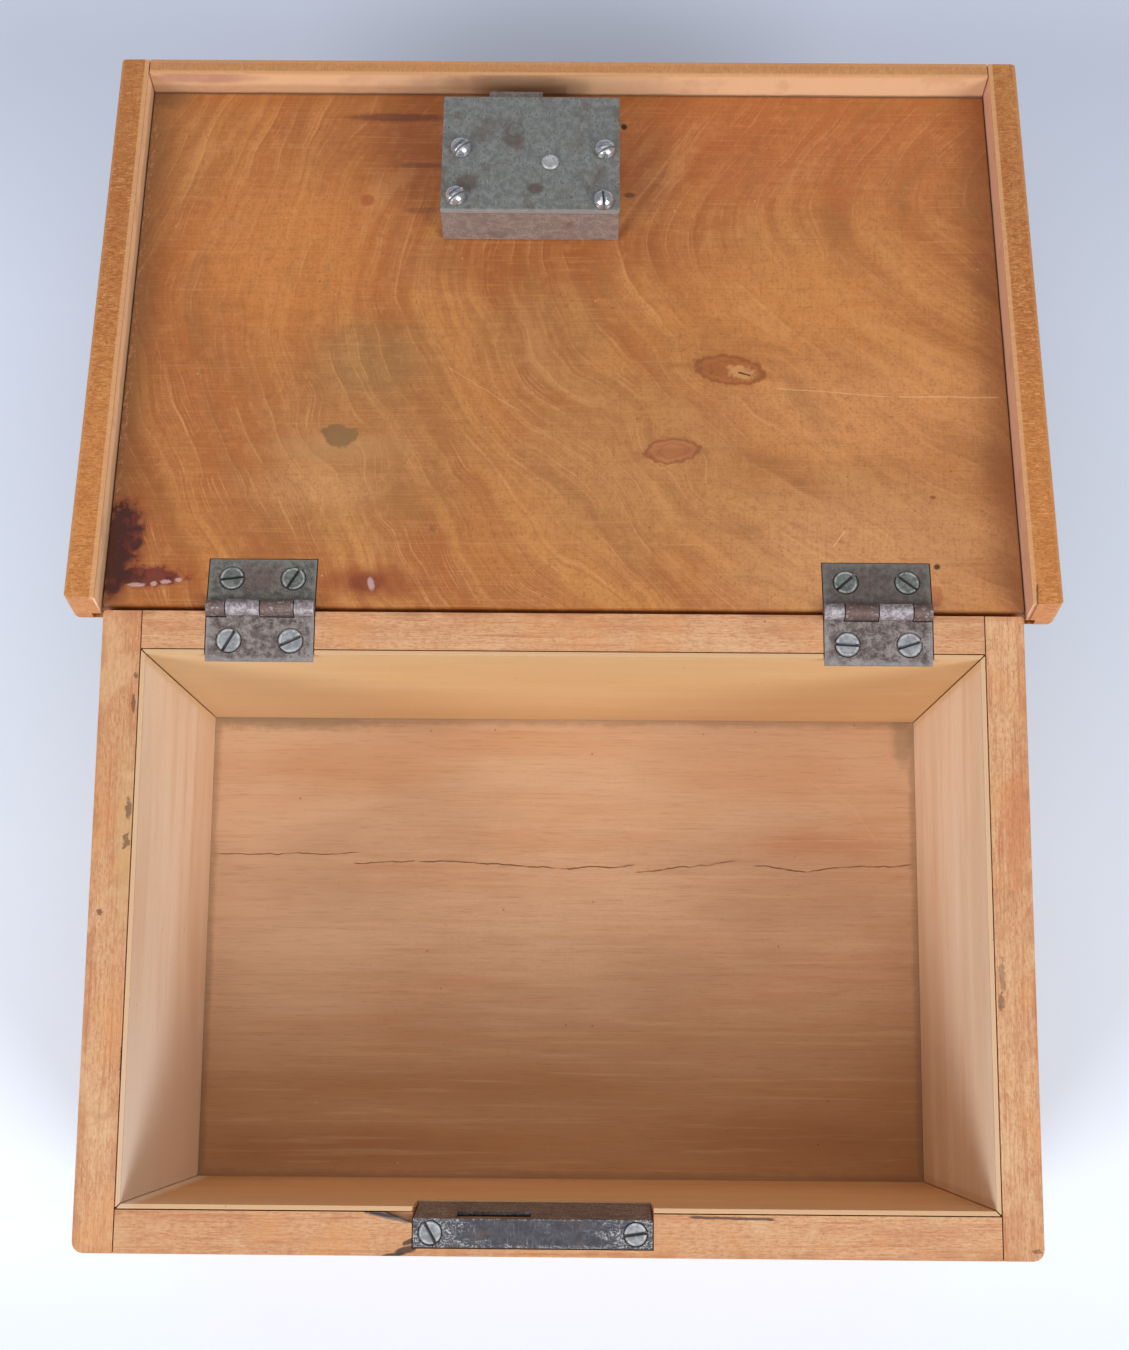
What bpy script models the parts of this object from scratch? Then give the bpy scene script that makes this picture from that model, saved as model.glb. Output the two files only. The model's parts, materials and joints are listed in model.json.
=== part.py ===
"""A wooden keepsake box with a hinged lid, laid open.

The body is four walls round a bottom board, lined with thin boards mitred at the corners. The lid is
a panel housed between two side rails, with a front rail, and its rails close down outside the walls.
Two butt hinges join lid and body. A lock is screwed to the inside of the lid, and its bolt enters a
folded strike plate let into the front wall.

Metres, +Z up. The origin is the middle of the underside, +X is to the right and the hinges are at +Y.
The pieces of the lid are made in the lid's own frame: X along the hinge line, Y away from it, Z out of
the lid's inner face.
"""

import math

import bmesh
import bpy
from mathutils import Matrix

# Shared clearances
JOINT_GAP = 0.0003
OVERRUN = 0.003

# Body
BOX_WIDTH = 0.256
BOX_DEPTH = 0.173
INSIDE_DEPTH = 0.112
BOTTOM_THICKNESS = 0.008
SIDE_WALL = 0.0107
FRONT_WALL = 0.0112
BACK_WALL = 0.0106
FRONT_CORNER_ROUND = 0.003
BACK_CORNER_ROUND = 0.0009
LINING_THICKNESS = 0.0013
LINING_NOSE = 0.0002

# Lid
PANEL_THICKNESS = 0.0072
TONGUE_THICKNESS = 0.0032
TONGUE_REACH = 0.003
SIDE_RAIL = 0.0086
FRONT_RAIL = 0.005
RAIL_DROP = 0.0095
RAIL_BACK_REACH = 0.0012
RAIL_END_ROUND = 0.0016
RAIL_OUTER_ROUND = 0.0032
RAIL_CHAMFER = 0.0012
LID_SIDE_GAP = 0.0006
LID_FRONT_GAP = 0.0006
LID_TOP_GAP = 0.0006
LID_STOP_GAP = 0.0003

# Hinges
HINGE_WIDTH = 0.030
HINGE_REACH = 0.015
HINGE_SETBACK = 0.0009
HINGE_INSET_LEFT = 0.0288
HINGE_INSET_RIGHT = 0.0254
LEAF_THICKNESS = 0.0012
KNUCKLE_RADIUS = 0.0024
KNUCKLE_BORE_RADIUS = 0.0013
PIN_RADIUS = 0.001
KNUCKLE_END_SHARES = (0.18, 0.5, 0.815, 1.0)
HINGE_SCREW_REACH = 0.0092
HINGE_SCREW_SPACING = 0.0172
HINGE_SCREW_HEAD_RADIUS = 0.0034
HINGE_SCREW_SHANK_RADIUS = 0.0014
LID_HINGE_SCREW_LENGTH = 0.006
BOX_HINGE_SCREW_LENGTH = 0.012

# Lock
LOCK_X = -0.0108
LOCK_WIDTH = 0.0528
LOCK_HEIGHT = 0.0406
LOCK_THICKNESS = 0.0151
LOCK_SHEET = 0.0015
LOCK_COVER = 0.0014
LOCK_CORNER_ROUND = 0.0006
LOCK_STRIKE_GAP = 0.0004
LOCK_SCREW_SHARES = ((-0.79, 0.075), (0.833, 0.06), (-0.833, -0.765), (0.82, -0.82))
LOCK_SCREW_HEAD_RADIUS = 0.0033
LOCK_SCREW_HEAD_HEIGHT = 0.0029
LOCK_SCREW_SLOT_DEPTH = 0.0015
LOCK_SCREW_SHANK_RADIUS = 0.0015
LOCK_SCREW_BITE = 0.005
BOLT_WIDTH = 0.0163
BOLT_THICKNESS = 0.0055
BOLT_THROW = 0.0078
BOLT_TAIL_THICKNESS = 0.0022
BOLT_TAIL_LENGTH = 0.029
BOLT_X_SHARE = -0.19
TALON_DEPTH = 0.0035
TALON_WIDTH = 0.008
GUIDE_POST_RADIUS = 0.002
GUIDE_POST_SHARE = 0.404
DRILL_PIN_RADIUS = 0.0015
DRILL_PIN_SHARES = (0.22, -0.17)
DRILL_PIN_REACH = 0.003
RIVET_HEAD_RADIUS = 0.0026
RIVET_HEAD_HEIGHT = 0.0007
KEYHOLE_RADIUS = 0.0033
KEYHOLE_SLOT_WIDTH = 0.0024
KEYHOLE_SLOT_REACH = 0.0085
WARD_RADIUS = 0.0055
WARD_THICKNESS = 0.0007
WARD_HEIGHT = 0.0026
SPRING_THICKNESS = 0.0005
SPRING_HEIGHT = 0.0036
SPRING_FOOT = 0.006

# Strike plate
STRIKE_LENGTH = 0.0632
STRIKE_LEG = 0.0075
STRIKE_FLANGE = 0.021
STRIKE_SPLAY = 0.0027
STRIKE_THICKNESS = 0.001
STRIKE_EDGE_INSET = 0.00225
STRIKE_SHIFT = 0.00425
STRIKE_SLOT_SPARE_LEFT = 0.0029
STRIKE_SLOT_SPARE_RIGHT = 0.0005
STRIKE_SLOT_SPARE_BELOW = 0.0017
STRIKE_SCREW_INSET = 0.0045
STRIKE_SCREW_HEAD_RADIUS = 0.003
STRIKE_SCREW_SHANK_RADIUS = 0.0014
STRIKE_SCREW_LENGTH = 0.012
MORTISE_SPARE = 0.0006
CHIP_LENGTH = 0.0076
CHIP_WIDTH = 0.0029
CHIP_DEPTH = 0.002

# Screw heads
SCREW_RIM = 0.0002
SCREW_SLOT_WIDTH = 0.0009
SCREW_SLOT_DEPTH = 0.0009
SCREW_SLOT_ANGLES = {
    "hinge_screw_lid_1": 8,
    "hinge_screw_lid_2": 60,
    "hinge_screw_lid_3": 42,
    "hinge_screw_lid_4": -38,
    "hinge_screw_box_1": 60,
    "hinge_screw_box_2": 25,
    "hinge_screw_box_3": -3,
    "hinge_screw_box_4": 18,
    "lock_screw_1": 40,
    "lock_screw_2": 25,
    "lock_screw_3": 35,
    "lock_screw_4": 95,
    "strike_screw_left": -60,
    "strike_screw_right": 8,
}

# Counts that set how round the round pieces are
ROUND_SIDES = 32
SCREW_SIDES = 24
EDGE_SEGMENTS = 4
DOME_STEPS = 6

# Places that follow from the sizes
RIM = BOTTOM_THICKNESS + INSIDE_DEPTH
HALF_WIDTH = BOX_WIDTH / 2
HALF_DEPTH = BOX_DEPTH / 2
FRONT_INSIDE = FRONT_WALL - HALF_DEPTH
BACK_INSIDE = HALF_DEPTH - BACK_WALL
SIDE_INSIDE = HALF_WIDTH - SIDE_WALL
HINGE_Y = HALF_DEPTH + HINGE_SETBACK
HINGE_Z = RIM + LID_TOP_GAP / 2

# Heights in the lid's frame, and distances from the hinge line
PANEL_INNER = -LID_TOP_GAP / 2
PANEL_OUTER = PANEL_INNER - PANEL_THICKNESS
RAIL_EDGE = PANEL_INNER + RAIL_DROP
RAIL_INSIDE = HALF_WIDTH + LID_SIDE_GAP
FRONT_RAIL_INSIDE = HINGE_SETBACK + BOX_DEPTH + LID_FRONT_GAP
LID_FRONT = FRONT_RAIL_INSIDE + FRONT_RAIL

# The lid folds back until the outer arris of its panel comes to the back wall
STOP_RADIUS = math.hypot(HINGE_SETBACK, PANEL_OUTER)
STOP_ANGLE = math.atan2(-PANEL_OUTER, HINGE_SETBACK)
LID_LEAN = math.acos((LID_STOP_GAP - HINGE_SETBACK) / STOP_RADIUS) - STOP_ANGLE

# Strike plate in the body's frame
STRIKE_X = LOCK_X + STRIKE_SHIFT
STRIKE_FRONT = STRIKE_EDGE_INSET - HALF_DEPTH
STRIKE_FOLD = STRIKE_FRONT + STRIKE_LEG
STRIKE_LEAN = math.atan2(STRIKE_SPLAY, STRIKE_FLANGE)

# Lock in the lid's frame: closed, its front stands clear of the flange at the lock's full depth
LOCK_BACK_Z = PANEL_INNER + JOINT_GAP
LOCK_FACE_Z = PANEL_INNER + LOCK_THICKNESS
LOCK_CASE_TOP = LOCK_FACE_Z - LOCK_COVER - JOINT_GAP
FLANGE_AT_LOCK = STRIKE_FOLD + (LOCK_THICKNESS - LID_TOP_GAP) * math.tan(STRIKE_LEAN)
LOCK_FRONT = HINGE_Y - FLANGE_AT_LOCK - LOCK_STRIKE_GAP
LOCK_Y = LOCK_FRONT - LOCK_HEIGHT / 2
LOCK_FLOOR = LOCK_BACK_Z + LOCK_SHEET
BOLT_X = LOCK_X + BOLT_X_SHARE * LOCK_WIDTH / 2
BOLT_LOW = LOCK_FLOOR + JOINT_GAP
BOLT_HIGH = BOLT_LOW + BOLT_THICKNESS
BOLT_TIP = LOCK_FRONT + BOLT_THROW
BOLT_SHOULDER = LOCK_FRONT - LOCK_SHEET
KEY_X = LOCK_X + DRILL_PIN_SHARES[0] * LOCK_WIDTH / 2
KEY_Y = LOCK_Y + DRILL_PIN_SHARES[1] * LOCK_HEIGHT / 2
GUIDE_Y = LOCK_Y + GUIDE_POST_SHARE * LOCK_HEIGHT / 2


def clear_scene():
    for obj in list(bpy.data.objects):
        bpy.data.objects.remove(obj, do_unlink=True)


def make_collection(name):
    group = bpy.data.collections.new(name)
    bpy.context.scene.collection.children.link(group)
    return group


def make_material(name, colour, roughness, metallic=0.0):
    material = bpy.data.materials.new(name)
    material.use_nodes = True
    shader = material.node_tree.nodes["Principled BSDF"]
    shader.inputs["Base Color"].default_value = (*colour, 1.0)
    shader.inputs["Roughness"].default_value = roughness
    shader.inputs["Metallic"].default_value = metallic
    material.diffuse_color = (*colour, 1.0)
    return material


def make_empty(name, place, lean=0.0, parent=None):
    empty = bpy.data.objects.new(name, None)
    PARTS.objects.link(empty)
    empty.location = place
    empty.rotation_euler.x = lean
    empty.parent = parent
    return empty


def add_object(name, data, parent, material):
    """A piece of the box, or a cutter where it has no material."""
    obj = bpy.data.objects.new(name, data)
    if material is None:
        CUTTERS.objects.link(obj)
        obj.hide_render = True
        obj.display_type = "WIRE"
    else:
        PARTS.objects.link(obj)
        data.materials.append(material)
    obj.parent = parent
    return obj


def add_shape(name, shape, parent, material):
    mesh = bpy.data.meshes.new(name)
    shape.to_mesh(mesh)
    shape.free()
    return add_object(name, mesh, parent, material)


def block(name, low, high, parent=None, material=None, edges=()):
    """A box between two corners. Each of edges is a test, a width and a count of segments for a round."""
    size = [b - a for a, b in zip(low, high)]
    shape = bmesh.new()
    bmesh.ops.create_cube(shape, size=1)
    bmesh.ops.scale(shape, vec=size, verts=shape.verts)
    for wanted, width, segments in edges:
        shape.normal_update()
        picked = [edge for edge in shape.edges if wanted(edge)]
        bmesh.ops.bevel(
            shape, geom=picked, offset=width, segments=segments, profile=0.5, affect="EDGES"
        )
    obj = add_shape(name, shape, parent, material)
    obj.location = [(a + b) / 2 for a, b in zip(low, high)]
    return obj


def upright_edges(x_side, y_side):
    """The upright edge of a block on the given sides of its middle."""

    def wanted(edge):
        a, b = (vert.co for vert in edge.verts)
        upright = a.x * x_side > 0 and a.y * y_side > 0 and (a.xy - b.xy).length < JOINT_GAP
        return upright and abs(a.z - b.z) > JOINT_GAP

    return wanted


def upper_arris(x_side):
    """The long edge above the side of a block that faces x_side."""

    def wanted(edge):
        above = all(vert.co.z > 0 for vert in edge.verts)
        level = abs(edge.verts[0].co.z - edge.verts[1].co.z) < JOINT_GAP
        return above and level and any(face.normal.x * x_side > 0.9 for face in edge.link_faces)

    return wanted


def lower_arrises(x_side, y_sides):
    """The edges under the sides of a block that face x_side and y_sides."""

    def wanted(edge):
        if any(vert.co.z > 0 for vert in edge.verts):
            return False
        normals = [face.normal for face in edge.link_faces]
        along = any(normal.x * x_side > 0.9 for normal in normals)
        ends = any(normal.y * y_side > 0.9 for normal in normals for y_side in y_sides)
        return (along or ends) and any(normal.z < -0.9 for normal in normals)

    return wanted


def corner_chain(x_side, y_side, half_x, half_y):
    """The upright edge at a corner of a block, and its run over the rounded lower arrises that meet there."""

    def wanted(edge):
        ends = [vert.co for vert in edge.verts]
        insets = [(half_x - end.x * x_side, half_y - end.y * y_side) for end in ends]
        mitred = all(abs(across - along) < JOINT_GAP / 10 for across, along in insets)
        return mitred and abs(ends[0].z - ends[1].z) > JOINT_GAP / 10

    return wanted


def rod(name, radius, low, high, axis="X", parent=None, material=None, sides=ROUND_SIDES):
    """A cylinder between two points that differ along one axis."""
    length = sum(b - a for a, b in zip(low, high))
    shape = bmesh.new()
    bmesh.ops.create_cone(
        shape, cap_ends=True, segments=sides, radius1=radius, radius2=radius, depth=length
    )
    obj = add_shape(name, shape, parent, material)
    if axis == "X":
        obj.rotation_euler.y = math.pi / 2
    obj.location = [(a + b) / 2 for a, b in zip(low, high)]
    smooth(obj)
    return obj


def turned(name, profile, parent=None, material=None):
    """A solid turned about Z from a profile of radii and heights, top to bottom."""
    mesh = bpy.data.meshes.new(name)
    points = [(radius, 0.0, height) for radius, height in profile]
    mesh.from_pydata(points, [(i, i + 1) for i in range(len(points) - 1)], [])
    obj = add_object(name, mesh, parent, material)
    lathe = obj.modifiers.new("lathe", "SCREW")
    lathe.axis = "Z"
    lathe.steps = SCREW_SIDES
    lathe.render_steps = SCREW_SIDES
    lathe.use_merge_vertices = True
    lathe.merge_threshold = JOINT_GAP / 100
    return obj


def prism(name, outline, length, turn, place, parent=None, material=None):
    """A flat outline given a thickness, as a mesh so that it can be cut or can cut."""
    curve = bpy.data.curves.new(name + "_outline", "CURVE")
    curve.dimensions = "2D"
    curve.fill_mode = "BOTH"
    curve.extrude = length / 2
    spline = curve.splines.new("POLY")
    spline.points.add(len(outline) - 1)
    for point, (x, y) in zip(spline.points, outline):
        point.co = (x, y, 0.0, 1.0)
    spline.use_cyclic_u = True
    drawn = add_object(name + "_outline", curve, None, None)
    drawn.matrix_world = Matrix.Translation(place) @ turn
    bpy.context.view_layer.update()
    graph = bpy.context.evaluated_depsgraph_get()
    mesh = bpy.data.meshes.new_from_object(drawn.evaluated_get(graph))
    mesh.name = name
    mesh.materials.clear()
    shape = bmesh.new()
    shape.from_mesh(mesh)
    bmesh.ops.remove_doubles(shape, verts=shape.verts, dist=JOINT_GAP / 100)
    bmesh.ops.recalc_face_normals(shape, faces=shape.faces)
    shape.to_mesh(mesh)
    shape.free()
    obj = add_object(name, mesh, parent, material)
    obj.matrix_local = drawn.matrix_world.copy()
    bpy.data.objects.remove(drawn, do_unlink=True)
    return obj


# Turns for outlines drawn in the YZ and XZ planes
DRAWN_IN_YZ = Matrix(((0, 0, 1, 0), (1, 0, 0, 0), (0, 1, 0, 0), (0, 0, 0, 1)))
DRAWN_IN_XZ = Matrix(((1, 0, 0, 0), (0, 0, -1, 0), (0, 1, 0, 0), (0, 0, 0, 1)))


def smooth(obj):
    obj.data.shade_smooth()
    obj.data.set_sharp_from_angle(angle=math.radians(35))


def combine(obj, tool, operation):
    modifier = obj.modifiers.new(tool.name, "BOOLEAN")
    modifier.operation = operation
    modifier.solver = "EXACT"
    modifier.object = tool


def cut(obj, *tools):
    for tool in tools:
        combine(obj, tool, "DIFFERENCE")


def join(obj, *tools):
    for tool in tools:
        combine(obj, tool, "UNION")


def countersunk_profile(head, shank, length, grow=0.0):
    top = OVERRUN if grow else 0.0
    return (
        (0.0, top),
        (head + grow, top),
        (head + grow, -SCREW_RIM),
        (shank + grow, -SCREW_RIM - head + shank),
        (shank + grow, -length - grow),
        (0.0, -length - grow),
    )


def domed_profile(head, height, shank, length):
    steps = [math.pi / 2 * i / DOME_STEPS for i in range(DOME_STEPS + 1)]
    dome = [(head * math.sin(step), height * math.cos(step)) for step in steps]
    return (*dome, (shank, 0.0), (shank, -length), (0.0, -length))


def add_screw(name, profile, place, parent, slot_depth=SCREW_SLOT_DEPTH):
    """A slotted screw, pointing down its parent's Z, with the origin of its profile at place."""
    screw = turned(name, profile, parent, SCREW_STEEL)
    screw.location = place
    top = max(height for _, height in profile)
    head = max(radius for radius, _ in profile)
    half = SCREW_SLOT_WIDTH / 2
    slot = block(
        name + "_slot_cutter",
        (-head - OVERRUN, -half, top - slot_depth),
        (head + OVERRUN, half, top + OVERRUN),
        parent,
    )
    slot.location.x += place[0]
    slot.location.y += place[1]
    slot.location.z += place[2]
    slot.rotation_euler.z = math.radians(SCREW_SLOT_ANGLES[name])
    cut(screw, slot)


# Body

def make_walls():
    pieces = {}
    for side, name in ((-1, "left_wall"), (1, "right_wall")):
        near, far = sorted((side * SIDE_INSIDE, side * HALF_WIDTH))
        rounds = (
            (upright_edges(side, -1), FRONT_CORNER_ROUND, EDGE_SEGMENTS),
            (upright_edges(side, 1), BACK_CORNER_ROUND, EDGE_SEGMENTS),
        )
        low, high = (near, -HALF_DEPTH, 0), (far, HALF_DEPTH, RIM)
        pieces[name] = block(name, low, high, None, WALL_WOOD, rounds)
    across = SIDE_INSIDE - JOINT_GAP
    pieces["front_wall"] = block(
        "front_wall", (-across, -HALF_DEPTH, 0), (across, FRONT_INSIDE, RIM), None, WALL_WOOD
    )
    pieces["back_wall"] = block(
        "back_wall", (-across, BACK_INSIDE, 0), (across, HALF_DEPTH, RIM), None, WALL_WOOD
    )
    pieces["bottom_board"] = block(
        "bottom_board",
        (-across, FRONT_INSIDE + JOINT_GAP, 0),
        (across, BACK_INSIDE - JOINT_GAP, BOTTOM_THICKNESS),
        None,
        FLOOR_WOOD,
    )
    return pieces


def make_linings():
    """Thin boards that stand on the bottom board against each wall, mitred where they meet."""
    foot = BOTTOM_THICKNESS + JOINT_GAP
    stop = JOINT_GAP + JOINT_GAP * math.sqrt(0.5) + LINING_NOSE
    mitre = LINING_THICKNESS - LINING_NOSE
    pieces = {}
    for side, name in ((-1, "lining_left"), (1, "lining_right")):
        outer = SIDE_INSIDE - JOINT_GAP
        near, far = sorted((side * outer, side * (outer - LINING_THICKNESS)))
        low = (near, FRONT_INSIDE + stop, foot)
        high = (far, BACK_INSIDE - stop, RIM)
        mitres = [(upright_edges(-side, end), mitre, 1) for end in (-1, 1)]
        pieces[name] = block(name, low, high, None, LINING_WOOD, mitres)
    across = SIDE_INSIDE - stop
    for end, wall, name in ((-1, FRONT_INSIDE, "lining_front"), (1, BACK_INSIDE, "lining_back")):
        outer = wall - end * JOINT_GAP
        near, far = sorted((outer, outer - end * LINING_THICKNESS))
        mitres = [(upright_edges(side, -end), mitre, 1) for side in (-1, 1)]
        pieces[name] = block(name, (-across, near, foot), (across, far, RIM), None, LINING_WOOD, mitres)
    return pieces


# Lid

def make_lid_panel():
    """A board with a tongue along each side that is housed in the side rails."""
    shoulder = RAIL_INSIDE - JOINT_GAP
    tip = shoulder + TONGUE_REACH
    back = HINGE_SETBACK
    front = FRONT_RAIL_INSIDE - JOINT_GAP
    panel = block("lid_panel", (-tip, back, PANEL_OUTER), (tip, front, PANEL_INNER), LID, PANEL_WOOD)
    middle = (PANEL_INNER + PANEL_OUTER) / 2
    rebates = (
        (PANEL_OUTER - OVERRUN, middle - TONGUE_THICKNESS / 2),
        (middle + TONGUE_THICKNESS / 2, PANEL_INNER + OVERRUN),
    )
    for side in (-1, 1):
        near, far = sorted((side * shoulder, side * (tip + OVERRUN)))
        for low, high in rebates:
            corners = (near, back - OVERRUN, low), (far, front + OVERRUN, high)
            cut(panel, block("tongue_cutter", *corners, LID))
    return panel


def make_lid_rails():
    middle = (PANEL_INNER + PANEL_OUTER) / 2
    for side, name in ((-1, "lid_rail_left"), (1, "lid_rail_right")):
        outer = RAIL_INSIDE + SIDE_RAIL
        near, far = sorted((side * RAIL_INSIDE, side * outer))
        low, high = (near, -RAIL_BACK_REACH, PANEL_OUTER), (far, LID_FRONT, RAIL_EDGE)
        halves = (SIDE_RAIL / 2, (LID_FRONT + RAIL_BACK_REACH) / 2)
        shaping = (
            (lower_arrises(side, (-1, 1)), RAIL_OUTER_ROUND, EDGE_SEGMENTS),
            (corner_chain(side, -1, *halves), RAIL_END_ROUND, EDGE_SEGMENTS),
            (corner_chain(side, 1, *halves), RAIL_END_ROUND, EDGE_SEGMENTS),
            (upper_arris(side), RAIL_CHAMFER, 2),
        )
        rail = block(name, low, high, LID, RAIL_WOOD, shaping)
        near, far = sorted((side * (RAIL_INSIDE - OVERRUN), side * (RAIL_INSIDE + TONGUE_REACH)))
        half = TONGUE_THICKNESS / 2 + JOINT_GAP
        low = (near, -RAIL_BACK_REACH - OVERRUN, middle - half)
        high = (far, FRONT_RAIL_INSIDE, middle + half)
        cut(rail, block(name + "_groove_cutter", low, high, LID))
    across = RAIL_INSIDE - JOINT_GAP
    low = (-across, FRONT_RAIL_INSIDE, PANEL_OUTER)
    rounds = [(lower_arrises(0, (1,)), RAIL_OUTER_ROUND, EDGE_SEGMENTS)]
    block("lid_rail_front", low, (across, LID_FRONT, RAIL_EDGE), LID, RAIL_WOOD, rounds)


# Hinges

def knuckle_spans(hinge_left, mirrored):
    """Each knuckle's ends along X and the leaf that it belongs to. The outermost is the lid's."""
    ends = (0.0, *KNUCKLE_END_SHARES)
    spans = []
    for i, owner in enumerate(("lid", "box", "lid", "box")):
        start, stop = ends[i], ends[i + 1]
        if mirrored:
            start, stop = 1 - stop, 1 - start
        spans.append((hinge_left + start * HINGE_WIDTH, hinge_left + stop * HINGE_WIDTH, owner))
    return spans


def make_leaf(name, owner, hinge_left, spans, parent):
    """A plate from the hinge line outward, joined to its own knuckles and notched round the other's."""
    away = -1 if owner == "box" else 1
    near, far = sorted((0.0, away * HINGE_REACH))
    low = (hinge_left, near, PANEL_INNER - LEAF_THICKNESS)
    high = (hinge_left + HINGE_WIDTH, far, PANEL_INNER)
    leaf = block(name, low, high, parent, HINGE_STEEL)
    half_gap = JOINT_GAP / 2
    hinge_right = hinge_left + HINGE_WIDTH
    notches = []
    for i, (start, stop, span_owner) in enumerate(spans):
        if span_owner == owner:
            start = start if start <= hinge_left else start + half_gap
            stop = stop if stop >= hinge_right else stop - half_gap
            low, high = (start, 0, 0), (stop, 0, 0)
            knuckle = rod(f"{name}_knuckle_{i}", KNUCKLE_RADIUS, low, high, parent=parent)
            join(leaf, knuckle)
        else:
            start = start - OVERRUN if start <= hinge_left else start - half_gap
            stop = stop + OVERRUN if stop >= hinge_right else stop + half_gap
            radius = KNUCKLE_RADIUS + JOINT_GAP
            low, high = (start, 0, 0), (stop, 0, 0)
            notches.append(rod(f"{name}_notch_cutter_{i}", radius, low, high, parent=parent))
    low, high = (hinge_left - OVERRUN, 0, 0), (hinge_right + OVERRUN, 0, 0)
    bore = rod(name + "_bore_cutter", KNUCKLE_BORE_RADIUS, low, high, parent=parent)
    cut(leaf, *notches, bore)
    return leaf


def make_hinge(number, hinge_left, mirrored, panel, back_wall, back_lining):
    side = "right" if mirrored else "left"
    spans = knuckle_spans(hinge_left, mirrored)
    low, high = (hinge_left, 0, 0), (hinge_left + HINGE_WIDTH, 0, 0)
    rod("hinge_pin_" + side, PIN_RADIUS, low, high, "X", HINGE_LINE, HINGE_STEEL, SCREW_SIDES)
    middle = hinge_left + HINGE_WIDTH / 2
    wood = {"box": (back_wall, back_lining), "lid": (panel,)}
    lengths = {"box": BOX_HINGE_SCREW_LENGTH, "lid": LID_HINGE_SCREW_LENGTH}
    for owner, parent, away in (("box", HINGE_LINE, -1), ("lid", LID, 1)):
        name = f"hinge_leaf_{owner}_{side}"
        leaf = make_leaf(name, owner, hinge_left, spans, parent)
        near, far = sorted((-away * OVERRUN, away * (HINGE_REACH + JOINT_GAP)))
        low = (hinge_left - JOINT_GAP, near, PANEL_INNER - LEAF_THICKNESS - JOINT_GAP)
        high = (hinge_left + HINGE_WIDTH + JOINT_GAP, far, PANEL_INNER + OVERRUN)
        seat = block(name + "_seat_cutter", low, high, parent)
        low = (hinge_left - JOINT_GAP, 0, 0)
        high = (hinge_left + HINGE_WIDTH + JOINT_GAP, 0, 0)
        hollow = rod(name + "_hollow_cutter", KNUCKLE_RADIUS + JOINT_GAP, low, high, parent=parent)
        for piece in wood[owner]:
            cut(piece, seat)
        cut(wood[owner][0], hollow)
        for i, across in enumerate((-1, 1)):
            screw_name = f"hinge_screw_{owner}_{number + i}"
            place = (middle + across * HINGE_SCREW_SPACING / 2, away * HINGE_SCREW_REACH, PANEL_INNER)
            sizes = (HINGE_SCREW_HEAD_RADIUS, HINGE_SCREW_SHANK_RADIUS, lengths[owner])
            add_screw(screw_name, countersunk_profile(*sizes), place, parent)
            hole = turned(screw_name + "_hole_cutter", countersunk_profile(*sizes, JOINT_GAP), parent)
            hole.location = place
            cut(leaf, hole)
            cut(wood[owner][0], hole)


# Strike plate

def strike_outline():
    """The folded strip in section, in Y and Z: a leg in the rim and a flange that leans into the box."""
    across = STRIKE_THICKNESS / math.cos(STRIKE_LEAN)
    under = RIM - STRIKE_THICKNESS
    drop = STRIKE_THICKNESS * math.tan(STRIKE_LEAN)
    foot = RIM - STRIKE_FLANGE
    return (
        (STRIKE_FRONT, RIM),
        (STRIKE_FOLD, RIM),
        (STRIKE_FOLD + STRIKE_SPLAY, foot),
        (STRIKE_FOLD + STRIKE_SPLAY - across, foot),
        (STRIKE_FOLD - across + drop, under),
        (STRIKE_FRONT, under),
    )


def strike_seat_outline():
    """What the wall and the lining give up for the strike, with its clearance."""
    across = STRIKE_THICKNESS / math.cos(STRIKE_LEAN) + JOINT_GAP
    under = RIM - STRIKE_THICKNESS - JOINT_GAP
    foot = RIM - STRIKE_FLANGE - JOINT_GAP
    inside = FRONT_INSIDE + JOINT_GAP + LINING_THICKNESS + OVERRUN
    return (
        (STRIKE_FRONT - JOINT_GAP, RIM + OVERRUN),
        (inside, RIM + OVERRUN),
        (inside, foot),
        (STRIKE_FOLD + STRIKE_SPLAY - across, foot),
        (STRIKE_FOLD - across, under),
        (STRIKE_FRONT - JOINT_GAP, under),
    )


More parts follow.
